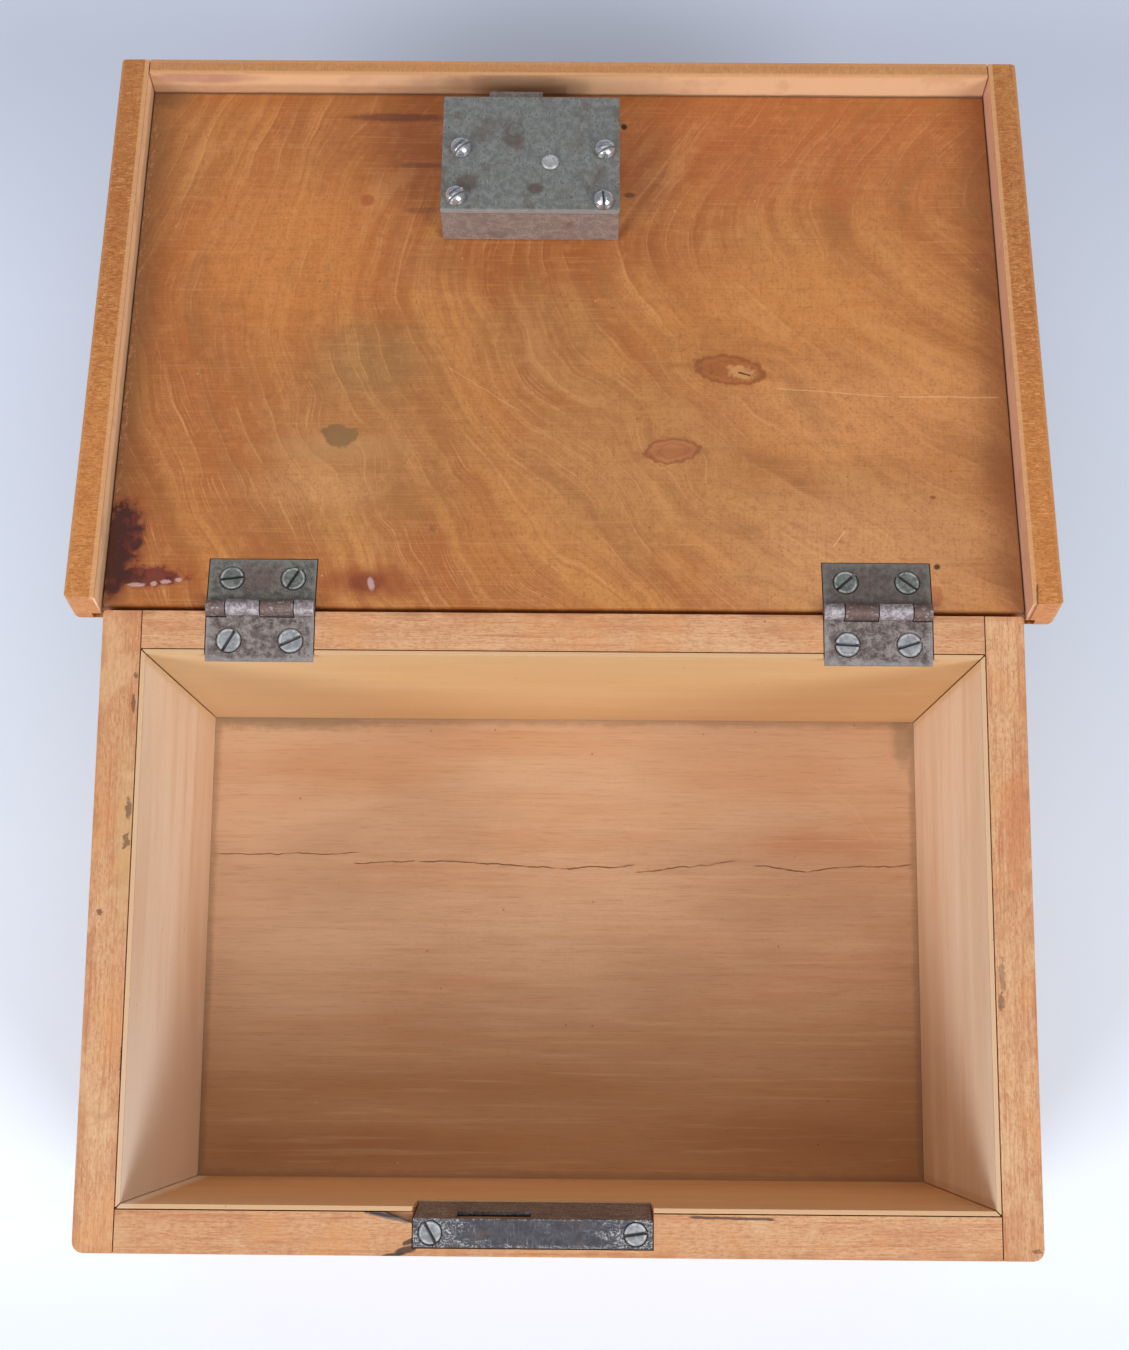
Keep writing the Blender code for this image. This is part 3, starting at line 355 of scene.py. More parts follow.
def make_wall_wood(name, along, pith, seed, marks):
    """The walls' wood: bare and handled on the rim, varnished and scuffed outside."""
    s = Shader(name)
    place = box_place(s)
    x, y, z = s.split(place)
    tones = ((220, 172, 128), (204, 150, 106), (184, 118, 78))
    height = board(s, place, along, pith, tones, seed)
    long_streak = fibres(s, place, along, 34.0, 1.1, seed + 7, 3.0)
    s.paint((180, 106, 66), s.span(long_streak, 0.54, 0.68), 0.6)
    fleck = fibres(s, place, along, 2.0, 0.45, seed + 12, 3.0)
    s.paint((176, 108, 62), s.span(fleck, 0.53, 0.62), 0.5)
    s.paint((230, 188, 140), s.span(fleck, 0.42, 0.32), 0.35)
    drift = s.noise(place, 24.0, 4.0, 0.6, 0.6, seed + 13)
    s.paint((216, 148, 88), s.span(drift, 0.5, 0.64), 0.4)
    s.paint((232, 194, 148), s.span(drift, 0.48, 0.34), 0.3)
    soil = s.noise(place, 9.0, 4.0, 0.65, 0.6, seed + 11)
    s.paint((168, 112, 76), s.span(soil, 0.55, 0.72), 0.35)
    worn = s.most(*near_faces(s, x, y, 2.6, 0.6))
    s.paint((178, 112, 70), worn, s.span(soil, 0.4, 0.62), 0.45)
    outer = s.most(*near_faces(s, x, y, 1.2, 0.2))
    varnish = s.times(outer, s.fall(z, WALL_TOP - 0.9, WALL_TOP - 0.2))
    s.paint((190, 122, 62), varnish, 0.5, how="MULTIPLY")
    rub = fibres(s, place, along, 30.0, 4.0, seed + 8, 5.0)
    s.paint((206, 148, 94), varnish, s.span(rub, 0.5, 0.72), 0.4)
    crest = s.least(*near_faces(s, x, y, 5.0, 0.6))
    s.paint((214, 160, 108), crest, varnish, 0.5)
    s.paint((120, 76, 46), varnish, s.fall(z, 0.0, 22.0), s.span(rub, 0.3, 0.6), 0.6)
    flecked(s, place, (104, 62, 40), (232, 204, 168), seed + 9)
    marks(s, place)
    roughness = s.span(s.noise(place, 30.0, 2.0, seed=seed + 10), 0.3, 0.7, 0.42, 0.56)
    return s.finish(roughness, height, 0.05)


def side_rim_marks(s, place):
    """A worn inner arris on the left rim, dents on both, and a ring and a red patch on the right one."""
    top = on_rim(s, place)
    worn = s.blob(place, (-119.0, 25.0), (2.4, 24.0), 0.7, 1.6, 4.0)
    s.paint((206, 172, 120), worn, top, 0.45)
    for centre, radii, share in (
            ((-118.4, 60.5), (0.5, 2.2), 0.7), ((-118.0, 68.0), (0.5, 1.2), 0.6),
            ((-118.4, 31.0), (0.8, 2.4), 0.65), ((-118.6, 22.0), (1.0, 1.8), 0.65),
            ((-117.0, -37.0), (0.5, 6.0), 0.75), ((-124.9, 2.9), (0.8, 0.9), 0.7),
            ((118.6, -19.0), (0.7, 2.4), 0.6), ((119.0, -12.0), (0.9, 4.0), 0.45),
            ((126.0, -84.0), (1.6, 0.5), 0.6)):
        dent = s.blob(place, centre, radii, 0.2, 3.0, 1.7)
        s.paint((84, 44, 30), dent, top, share)
    ring = s.abs(s.subtract(s.spot(place, (118.0, 78.5), (1.6, 1.9), 0.3), 0.75))
    s.paint((168, 128, 78), s.fall(ring, 0.0, 0.3), 0.5)
    red = s.blob(place, (123.8, 28.0), (3.6, 17.0), 0.4, 0.8, 5.0)
    s.paint((196, 112, 66), red, top, 0.4)


def end_rim_marks(s, place):
    """Gouges and a split beside the strike, and dirt along the back rim."""
    y = s.split(place)[1]
    top = on_rim(s, place)
    gouge = s.blob(place, (-41.0, -76.6), (9.0, 1.1), 0.25, 0.9, 2.0, -9.0)
    s.paint((92, 88, 94), gouge, top, 0.85)
    for centre, radii, turn in (
            ((-40.0, -85.0), (3.4, 0.9), 14.0), ((-38.5, -82.6), (2.6, 0.7), 20.0),
            ((-43.0, -86.2), (3.2, 0.5), 6.0), ((-46.0, -76.0), (5.0, 0.4), -8.0)):
        dent = s.blob(place, centre, radii, 0.25, 0.9, 1.5, turn)
        s.paint((58, 38, 30), dent, top, 0.9)
    split = s.stroke(place, (34.0, -76.0), (58.0, -76.3), 0.5, 0.9)
    s.paint((66, 42, 30), split, top, 0.85)
    patchy = s.span(s.noise(place, (14.0, 3.0, 3.0), 3.0), 0.42, 0.62)
    s.paint((150, 104, 74), s.span(y, HALF_DEPTH - 3.2, HALF_DEPTH - 0.4), patchy, top, 0.4)


def make_lining_wood(name, along, pith, seed, tones, contrast):
    """The lining's pale boards, darker along the floor, with painted shade along the arris and painted light
    on the left lining's front half.
    """
    s = Shader(name)
    place = box_place(s)
    x, y, z = s.split(place)
    height = board(s, place, along, pith, tones, seed, 2.0, contrast)
    cloud = fibres(s, place, along, 60.0, 12.0, seed + 8, 4.0)
    s.paint((222, 168, 116), s.span(cloud, 0.5, 0.68), 0.4 * contrast)
    depth = s.noise(place, (40.0, 40.0, 26.0), 3.0, seed=seed + 7)
    low = s.times(s.fall(z, 30.0, 85.0), s.span(depth, 0.25, 0.65))
    s.paint((220, 176, 144), low, 0.25)
    foot = s.fall(s.add(z, s.times(depth, 2.0)), FLOOR_TOP + 1.0, FLOOR_TOP + 2.2)
    s.paint((150, 110, 78), foot, 0.25)
    back = s.span(y, INSIDE_BACK - 3.0, INSIDE_BACK - 1.5)
    s.paint((230, 190, 132), back, 0.55)
    s.paint((236, 208, 168), back, s.span(x, -40.0, -100.0), 0.5)
    front = s.span(y, INSIDE_FRONT + 3.0, INSIDE_FRONT + 1.5)
    s.paint((202, 154, 102), front, 0.35)
    # Painted light: the left lining's front half is painted paler.
    painted_light_near_left = s.times(s.span(x, -110.0, -114.0), s.span(y, 0.0, -60.0))
    s.paint((255, 242, 228), painted_light_near_left, 0.8)
    corner_x = s.subtract(INSIDE_HALF_WIDTH, s.abs(x))
    corner_y = s.least(s.subtract(INSIDE_BACK, y), s.subtract(y, INSIDE_FRONT))
    corner = s.fall(s.most(corner_x, corner_y), 1.0, 9.0)
    s.paint((170, 136, 98), corner, s.span(depth, 0.3, 0.6), 0.08)
    # Painted shade: the top arris is darkened to the tone of the lining's shaded face.
    arris = s.span(z, WALL_TOP - 0.5, WALL_TOP - 0.2)
    s.paint((208, 166, 124), arris, 0.85)
    flecked(s, place, (150, 100, 66), (248, 232, 206), seed + 9)
    roughness = s.span(depth, 0.3, 0.7, 0.48, 0.6)
    return s.finish(roughness, height, 0.03)


def make_floor_wood():
    """The bottom board: a painted shadow of the front wall to the front, painted light to the back and the
    left, and split along its length.
    """
    s = Shader("floor_wood_look")
    place = box_place(s)
    x, y, _ = s.split(place)
    tones = ((220, 178, 144), (210, 164, 128), (204, 154, 116))
    height = board(s, place, 0, (20.0, 160.0), tones, 40.0, 3.0, 0.8)
    wide = s.noise(place, (90.0, 12.0, 30.0), 3.0, 0.5, seed=41.0)
    s.paint((204, 142, 96), s.span(wide, 0.46, 0.7), 0.45)
    # Painted light: paler to the back.
    back = s.span(y, 20.0, 70.0)
    s.paint((228, 192, 160), back, 0.5)
    # Painted light: paler to the left.
    left = s.span(s.add(x, s.sway(wide, 60.0)), -40.0, -112.0)
    s.paint((240, 206, 176), left, 0.55)
    grey = s.noise(place, (70.0, 26.0, 30.0), 3.0, 0.5, seed=42.0)
    middle = s.times(s.span(grey, 0.4, 0.65), s.span(y, -60.0, 0.0))
    s.paint((190, 148, 118), middle, 0.45)
    # Painted shadow of the front wall: darker to the front.
    front = s.span(y, -10.0, -64.0)
    s.paint((178, 124, 64), front, 0.6)
    for centre, radii, tone, share in (
            ((-74.0, 58.0), (40.0, 9.0), (208, 148, 96), 0.42),
            ((-10.0, 66.0), (46.0, 6.0), (214, 150, 100), 0.4),
            ((62.0, 56.0), (42.0, 11.0), (208, 146, 96), 0.3),
            ((84.0, 34.0), (30.0, 6.0), (192, 122, 80), 0.45),
            ((-30.0, -44.0), (86.0, 7.0), (170, 114, 62), 0.36),
            ((-66.0, -64.0), (50.0, 7.0), (166, 104, 60), 0.45),
            ((40.0, -30.0), (60.0, 9.0), (196, 146, 100), 0.35),
            ((74.0, -60.0), (44.0, 9.0), (166, 106, 62), 0.45)):
        patch = s.fall(s.spot(place, centre, radii, 0.9, 18.0), 0.2, 1.3)
        s.paint(tone, patch, share)
    ray = fibres(s, place, 0, 9.0, 0.35, 43.0)
    s.paint((154, 102, 72), s.span(ray, 0.54, 0.68), 0.24)
    drawn = fibres(s, place, 0, 60.0, 1.6, 47.0, 4.0)
    s.paint((196, 136, 92), s.span(drawn, 0.52, 0.66), 0.2)
    s.paint((230, 194, 152), s.span(drawn, 0.46, 0.34), 0.25)
    side = s.subtract(INSIDE_HALF_WIDTH - LINING, s.abs(x))
    end = s.least(s.subtract(INSIDE_BACK - LINING, y), s.subtract(y, INSIDE_FRONT + LINING))
    ragged = s.add(s.least(side, end), s.sway(s.noise(place, 5.0, 4.0, 0.6, seed=44.0), 3.0))
    s.paint((140, 104, 76), s.fall(ragged, -0.6, 1.6), 0.4)
    smudge = s.most(*[s.blob(place, centre, radii, 0.5, 1.2, 3.0) for centre, radii in (
        ((-90.0, 73.0), (30.0, 2.6)), ((112.0, 70.0), (3.5, 9.0)))])
    s.paint((142, 122, 98), smudge, 0.5)
    crack = s.most(*[s.stroke(place, start, end, width, 2.4, 9.0) for start, end, width in (
        ((-116.0, 28.9), (-66.0, 29.6), 0.2), ((-69.0, 26.0), (-48.0, 27.5), 0.2),
        ((-48.5, 27.6), (-1.0, 25.2), 0.27), ((-2.0, 25.0), (24.0, 26.2), 0.27),
        ((23.0, 23.6), (58.0, 28.0), 0.24), ((62.0, 26.4), (80.0, 24.8), 0.24),
        ((79.0, 24.9), (115.0, 27.3), 0.24))])
    broken = s.span(s.noise(place, 6.0, 2.0, seed=45.0), 0.36, 0.5, 0.3, 0.8)
    s.paint((92, 58, 38), crack, broken)
    for start, end in (((80.0, 55.0), (97.0, 45.0)), ((95.0, 46.0), (103.0, 34.0))):
        s.paint((232, 190, 150), s.stroke(place, start, end, 0.3, 0.8), 0.35)
    flecked(s, place, (122, 80, 56), (232, 200, 168), 46.0)
    s.colour = s.vector("MULTIPLY", s.colour, FLOOR_TINT)
    height = s.subtract(height, s.times(crack, 4.0))
    roughness = s.span(grey, 0.3, 0.7, 0.5, 0.62)
    return s.finish(roughness, height, 0.04)


def make_rail_wood(name, along, pith, seed):
    """The lid's rails: flecked edge faces, inner faces paler partly as wood and partly as painted light, the
    left rail's most, with dirt where they meet the panel.
    """
    s = Shader(name)
    place = lid_place(s)
    u, v, w = s.split(place)
    tones = ((204, 140, 80), (190, 122, 64), (176, 106, 54))
    height = board(s, place, along, pith, tones, seed)
    sizes = [0.7, 0.7, 0.7]
    sizes[1 - along] = 2.2
    fleck = s.noise(place, tuple(sizes), 3.0, 0.6, 1.4, seed + 7)
    lively = s.span(v, 190.0, 60.0, 0.5, 0.95)
    s.paint((156, 88, 40), s.span(fleck, 0.5, 0.58), lively)
    s.paint((220, 160, 100), s.span(fleck, 0.44, 0.34), lively)
    if along == 1:
        s.paint((232, 152, 80), s.span(v, 140.0, 30.0, 0.0, 0.3))
        side = s.abs(u)
        inner = s.times(s.fall(side, PANEL_HALF_WIDTH + 0.2, PANEL_HALF_WIDTH + 0.7), s.span(w, 9.0, 8.4))
        arris = s.times(s.fall(side, PANEL_HALF_WIDTH + 1.1, PANEL_HALF_WIDTH + 1.5), s.span(w, 7.6, 8.3))
        outer = s.span(side, PANEL_HALF_WIDTH + 7.2, PANEL_HALF_WIDTH + 8.0)
        inner_tone_and_light = s.blend(s.span(u, -5.0, 5.0), (255, 214, 170), (232, 178, 150))
    else:
        s.paint((220, 166, 118), 0.35)
        inner = s.times(s.span(v, PANEL_FRONT + 0.7, PANEL_FRONT + 0.2), s.span(w, 9.0, 8.4))
        arris = s.times(s.span(v, PANEL_FRONT + 1.5, PANEL_FRONT + 1.0), s.span(w, 7.6, 8.3))
        outer = s.span(v, PANEL_FRONT + 3.6, PANEL_FRONT + 4.6)
        inner_tone_and_light = (232, 192, 154)
    smudge = s.noise(place, 14.0, 4.0, 0.6, seed=seed + 8)
    # Inner faces: paler wood with painted light, brightest on the left rail.
    s.paint(inner_tone_and_light, inner, 0.95)
    s.paint((232, 180, 132), arris, 0.55)
    s.paint((222, 164, 112), outer, 0.3)
    s.paint((190, 140, 112), inner, s.span(smudge, 0.5, 0.66), 0.35)
    low = s.times(s.span(u, 0.0, -1.0), s.fall(s.add(w, s.times(smudge, 4.0)), 4.5, 7.0))
    s.paint((156, 102, 64), low, inner, 0.45)
    base = s.fall(s.add(w, s.times(smudge, 1.6)), 0.6, 1.5)
    s.paint((110, 70, 50), base, inner, 0.7)
    if along == 0:
        face = s.join(u, w)
        # A darker patch on the front rail's inner face beside the lock.
        dark_patch_by_lock = s.blob(face, (-18.0, 5.0), (19.0, 5.0), 0.5, 0.7, 7.0)
        s.paint((124, 84, 62), dark_patch_by_lock, inner, 0.5)
        tint = s.blob(face, (-113.0, 7.0), (16.0, 2.6), 0.4, 0.8, 7.0)
        s.paint((170, 118, 108), tint, inner, 0.6)
    else:
        end = s.span(v, -7.4, -8.4)
        end_rings = s.span(s.noise(place, (2.2, 6.0, 0.5), 3.0, 0.6, 0.8, seed + 10), 0.42, 0.6)
        s.paint(s.blend(end_rings, (222, 172, 138), (198, 140, 104)), end, 0.75)
        split = s.stroke(place, (129.7, -5.0), (130.0, 5.0), 0.35, 0.8)
        s.paint((90, 52, 34), split, 0.8)
    flecked(s, place, (116, 66, 38), (238, 204, 160), seed + 9)
    roughness = s.span(smudge, 0.3, 0.7, 0.4, 0.52)
    return s.finish(roughness, s.add(height, s.times(fleck, 0.3)), 0.05)


def panel_field(s, place):
    """The panel's growth lines: each is where this field, in millimetres, is constant."""
    u, v, _ = s.split(place)
    lean = s.span(u, -125.0, 125.0, 0.28, 0.95, smooth=False)
    crest = s.span(u, -125.0, 125.0, 100.0, 138.0, smooth=False)
    rise = s.subtract(v, crest)
    bow = s.subtract(s.math("SQRT", s.add(s.times(rise, rise), 330.0)), 18.2)
    field = s.subtract(u, s.times(lean, bow))
    flat = s.join(u, s.times(v, 0.8))
    for size, reach, seed in ((62.0, 26.0, 60.0), (17.0, 6.0, 61.0)):
        field = s.add(field, s.sway(s.noise(flat, size, 1.0, seed=seed), reach))
    knots = (((-64.8, 54.4), (22.0, 20.0)), (SMALL_KNOT, (22.0, 14.0)), (LARGE_KNOT, (26.0, 16.0)))
    for centre, radii in knots:
        push = s.span(s.spot(place, centre, radii), 0.0, 1.0, 0.85, 0.0)
        field = s.subtract(field, s.times(push, s.subtract(u, centre[0])))
    return field


def make_panel_wood():
    """The lid's panel: growth lines, knots, stains and dirt inside, and worn varnish outside."""
    s = Shader("panel_wood_look")
    place = lid_place(s)
    u, v, w = s.split(place)
    inside = s.span(w, -4.0, -2.0)
    field = panel_field(s, place)
    broad = bands(s, field, v, 15.0, 62.0, 1.0)
    middle = bands(s, field, v, 4.0, 63.0, 2.0, 160.0)
    fine = bands(s, field, v, 1.15, 64.0, 1.0, 120.0)
    spacing = s.times(bands(s, field, v, 34.0, 65.0, 1.0, 400.0), 4.0)
    ring = s.math("FRACT", s.add(s.times(field, 1 / 8.5), spacing))
    scratch = s.noise(place, (22.0, 0.4, 2.0), 3.0, 0.6, seed=66.0)
    weave = s.noise(place, (0.5, 7.0, 2.0), 2.0, 0.6, seed=67.0)
    cloud = s.noise(place, 46.0, 3.0, 0.5, 0.3, 68.0)
    patch = s.noise(place, 17.0, 3.0, 0.55, 0.4, 69.0)
    speckle = s.noise(place, 0.9, 2.0, 0.7, seed=72.0)
    blot = s.noise(place, 3.4, 4.0, 0.65, 0.5, 75.0)
    s.colour = s.blend(s.span(broad, 0.34, 0.64), (204, 140, 76), (176, 106, 50))
    s.paint((168, 97, 46), s.span(middle, 0.48, 0.66), 0.45)
    s.paint((160, 91, 42), s.span(fine, 0.5, 0.66), 0.35)
    s.paint((176, 126, 72), s.span(cloud, 0.48, 0.68), 0.5)
    s.paint((172, 102, 51), s.span(patch, 0.5, 0.66), 0.5)

    # Tones of the inner face: redder by the lock and the front rail, with a painted shadow of the lock on its
    # hinges' side, greyer and paler towards the hinges
    for centre, radii, tone, share in (
            ((-30.0, 165.0), (58.0, 34.0), (148, 81, 44), 0.75),
            ((70.0, 160.0), (75.0, 34.0), (182, 102, 51), 0.8),
            # Painted shadow of the lock: a darker red band on its hinges' side
            ((-8.0, 116.0), (42.0, 15.0), (156, 85, 39), 0.75),
            ((-62.0, 52.0), (40.0, 34.0), (174, 128, 76), 0.55),
            ((18.0, 42.0), (44.0, 28.0), (194, 140, 83), 0.6),
            ((88.0, 18.0), (52.0, 30.0), (210, 156, 104), 0.75),
            ((70.0, 100.0), (44.0, 26.0), (208, 140, 76), 0.8),
            ((92.0, 64.0), (52.0, 24.0), (220, 156, 96), 0.7),
            ((-86.0, 116.0), (36.0, 36.0), (212, 136, 70), 0.6),
            ((-100.0, 58.0), (26.0, 44.0), (176, 104, 48), 0.6),
            ((-56.0, 80.0), (20.0, 16.0), (152, 118, 72), 0.6),
            ((-70.0, 38.0), (24.0, 9.0), (214, 160, 104), 0.5),
            ((-6.0, 88.0), (26.0, 22.0), (158, 112, 64), 0.45),
            ((17.0, 121.0), (13.0, 9.0), (154, 80, 34), 0.55),
            ((25.0, 141.0), (9.0, 22.0), (150, 84, 46), 0.5),
            ((106.0, 128.0), (28.0, 36.0), (190, 122, 66), 0.5)):
        region = s.fall(s.spot(place, centre, radii, 0.5, 24.0), 0.25, 1.25)
        s.paint(tone, region, inside, share)
    shown = s.span(s.noise(place, 34.0, 2.0, 0.6, seed=73.0), 0.46, 0.6, 0.12, 1.0)
    shown = s.times(shown, s.span(u, 0.0, 100.0, 1.0, 0.72))
    s.paint((216, 156, 94), s.span(ring, 0.3, 0.97), shown, 0.2)
    crest = s.fall(s.abs(s.subtract(ring, 0.95)), 0.006, 0.034)
    s.paint((226, 168, 108), crest, shown, 0.3)
    s.paint((158, 92, 44), s.fall(ring, 0.0, 0.14), shown, 0.16)
    thread = s.fall(s.abs(s.subtract(fine, 0.5)), 0.0, 0.03)
    s.paint((224, 164, 106), thread, s.span(patch, 0.44, 0.6), s.span(v, 95.0, 50.0, 0.3, 0.5))
    s.paint((150, 90, 46), s.span(speckle, 0.48, 0.72), 0.45)
    grime = s.noise(s.join(field, s.times(v, 0.35)), 11.0, 5.0, 0.64, 0.4, 74.0)
    s.paint((152, 100, 54), s.span(grime, 0.52, 0.7), 0.42)
    s.paint((224, 164, 104), s.span(grime, 0.46, 0.3), 0.28)
    s.paint((146, 90, 50), s.span(blot, 0.5, 0.66), 0.2)
    s.paint((220, 160, 100), s.span(blot, 0.46, 0.34), 0.16)
    s.paint((212, 154, 92), s.span(scratch, 0.52, 0.68), 0.28)
    s.paint((152, 91, 46), s.span(scratch, 0.44, 0.3), 0.22)
    s.paint((148, 91, 48), s.span(weave, 0.52, 0.68), 0.18)

    # Dirt against the rails
    wall = s.least(s.subtract(PANEL_HALF_WIDTH, s.abs(u)), s.subtract(PANEL_FRONT, v))
    s.paint((136, 91, 46), s.fall(s.add(wall, s.sway(patch, 12.0)), 0.0, 13.0), inside, 0.34)
    s.paint((86, 51, 32), s.fall(wall, 0.1, 0.9), inside, 0.35)
    s.paint((118, 70, 52), s.span(s.add(u, s.sway(grime, 7.0)), 119.0, 127.0), inside, 0.22)
    s.paint((134, 98, 64), s.span(s.add(u, s.sway(grime, 9.0)), -120.5, -127.5), inside, 0.5)
    crumbs = s.span(s.noise(place, (0.8, 1.5, 1.0), 4.0, 0.7, 0.4, 76.0), 0.53, 0.62)
    s.paint((206, 170, 130), s.span(u, -125.4, -127.0), crumbs, inside, 0.45)
    s.paint((108, 80, 64), s.blob(place, (-124.0, 172.0), (8.0, 2.6), 0.6, 1.2, 5.0), inside, 0.5)

    # Knots
    grey_knot = s.spot(place, (-64.8, 56.6), (5.3, 6.0), 0.55, 2.0)
    crown = s.blob(place, (-66.0, 57.0), (2.6, 1.3), 0.15, 0.3, 2.0)
    s.paint((196, 150, 100), s.blob(place, (-66.0, 50.5), (19.0, 4.2), 0.6, 0.5, 6.0), inside, 0.4)
    cup = s.times(s.inside(grey_knot, 0.1), s.span(v, 57.3, 56.7))
    knot_tone = s.blend(s.span(patch, 0.4, 0.6), (138, 104, 66), (112, 84, 54))
    s.paint(knot_tone, s.most(cup, crown), inside, 0.85)
    for centre, radii, turn, rim, heart in (
            (SMALL_KNOT, (7.8, 4.0), 4.0, (140, 80, 44), (184, 118, 72)),
            (LARGE_KNOT, (10.2, 4.8), -8.0, (140, 80, 40), (166, 98, 48))):
        knot = s.spot(place, centre, radii, 0.7, 2.6, turn)
        s.paint(heart, s.inside(knot, 0.12), inside, 0.8)
        outer_ring = s.fall(s.abs(s.subtract(knot, 0.94)), 0.0, 0.16)
        inner_ring = s.fall(s.abs(s.subtract(knot, 0.55)), 0.0, 0.12)
        s.paint(rim, s.most(outer_ring, s.times(inner_ring, 0.5)), inside, 0.75)
        tail = s.blob(place, (centre[0] + 1.0, centre[1] - 0.6), (radii[0] * 1.7, 1.5), 0.5, 0.6, 3.0, turn)
        s.paint(rim, tail, inside, 0.3)
    kernel = s.blob(place, (51.4, 76.2), (4.0, 2.0), 0.3, 1.8, 1.4, -14.0)
    s.paint((222, 166, 108), kernel, inside, 0.6)
    bark = s.blob(place, LARGE_KNOT, (9.4, 4.2), 0.15, 0.6, 2.6, -8.0)
    s.paint((128, 70, 34), s.span(blot, 0.54, 0.66), bark, inside, 0.5)
    slit = s.stroke(place, (50.4, 76.3), (54.2, 75.1), 0.4, 0.6, 2.0)
    s.paint((64, 38, 26), slit, inside, 0.9)

    # Spilt stain by the left rail, a red drip by the left hinge, wet specks painted pale as a sheen, marks
    # and scratches
    spill = s.least(s.spot(place, (-124.0, 22.0), (5.2, 10.5), 1.5, 3.6),
                    s.spot(place, (-118.0, 9.5), (11.5, 3.0), 1.6, 3.0),
                    s.spot(place, (-126.0, 12.0), (3.2, 9.0), 1.2, 3.6))
    s.paint((150, 66, 34), s.fall(spill, 0.9, 1.7), inside, 0.45)
    stain = s.times(s.inside(spill, 0.22), inside)
    deeper = s.add(blot, s.span(u, -116.0, -128.0, -0.06, 0.2))
    stain_tone = s.blend(s.span(deeper, 0.42, 0.62), (112, 48, 40), (54, 24, 32))
    s.paint(stain_tone, stain, 0.85)
    s.paint((146, 70, 32), s.blob(place, (-54.0, 8.3), (13.0, 4.4), 0.5, 0.9, 5.0), inside, 0.65)
    s.paint((118, 48, 24), s.blob(place, (-55.0, 8.0), (5.0, 3.0), 0.4, 0.9, 3.0), inside, 0.6)
    drop = s.blob(place, (-53.8, 7.8), (0.9, 2.0), 0.3, 0.8, 1.2, 12.0)
    drops = s.most(drop, *[s.blob(place, centre, radii, 0.3, 1.0, 1.2) for centre, radii in (
        ((-119.4, 7.0), (2.4, 0.6)), ((-114.6, 7.4), (0.9, 0.7)), ((-111.4, 8.0), (1.4, 0.6)),
        ((-107.8, 8.6), (1.0, 0.6)))])
    wet_drops_and_sheen = s.times(drops, inside)
    # Painted sheen: the glossy drops are painted pale.
    s.paint((206, 178, 176), wet_drops_and_sheen, 0.7)
    for centre, radii, tone, share in (
            ((-60.4, 135.2), (2.2, 2.0), (166, 84, 44), 0.75),
            ((17.3, 162.6), (0.9, 1.0), (30, 20, 16), 0.95),
            ((19.0, 137.6), (1.8, 0.9), (104, 64, 44), 0.8),
            ((104.8, 14.1), (0.9, 0.8), (44, 30, 22), 0.9),
            ((104.9, 35.9), (0.9, 0.6), (140, 78, 42), 0.8),
            ((103.6, 5.3), (2.4, 3.0), (168, 88, 52), 0.5),
            ((-52.0, 165.6), (15.0, 1.5), (96, 52, 44), 0.65),
            ((-45.0, 147.9), (7.0, 0.9), (118, 66, 46), 0.6),
            ((-44.0, 131.6), (5.0, 1.0), (128, 72, 46), 0.5),
            ((-37.0, 25.0), (1.0, 1.0), (130, 84, 50), 0.5)):
        s.paint(tone, s.blob(place, centre, radii, 0.35, 0.8, 1.8), inside, share)
    for start, end, width, share in (
            ((60.0, 71.0), (96.0, 68.4), 0.28, 0.5), ((96.0, 68.4), (127.0, 68.6), 0.3, 0.6),
            ((75.9, 19.9), (79.8, 25.2), 0.25, 0.7), ((-35.0, 78.0), (-12.0, 62.0), 0.25, 0.35),
            ((72.0, 20.6), (-60.0, 20.4), 0.12, 0.2)):
        s.paint((232, 182, 130), s.stroke(place, start, end, width, 1.2, 7.0), inside, share)
    flecked(s, place, (120, 70, 40), (236, 200, 156), 70.0)
    s.colour = s.vector("MULTIPLY", s.colour, PANEL_TINT)

    # The outer face: varnish worn through in the middle and along the arrises
    outside = s.span(w, -5.0, -7.0)
    rub = s.noise(place, (34.0, 5.0, 8.0), 5.0, 0.6, 0.4, 71.0)
    s.paint((190, 112, 56), outside, 0.5, how="MULTIPLY")
    s.paint((204, 146, 92), outside, s.span(rub, 0.5, 0.72), 0.4)
    roughness = s.span(patch, 0.3, 0.7, 0.36, 0.5)
    roughness = s.subtract(roughness, s.times(s.most(stain, wet_drops_and_sheen), 0.22))
    height = s.add(s.times(scratch, 0.6), s.add(s.times(weave, 0.3), s.times(wet_drops_and_sheen, 3.0)))
    return s.finish(roughness, height, 0.04)


# Metal

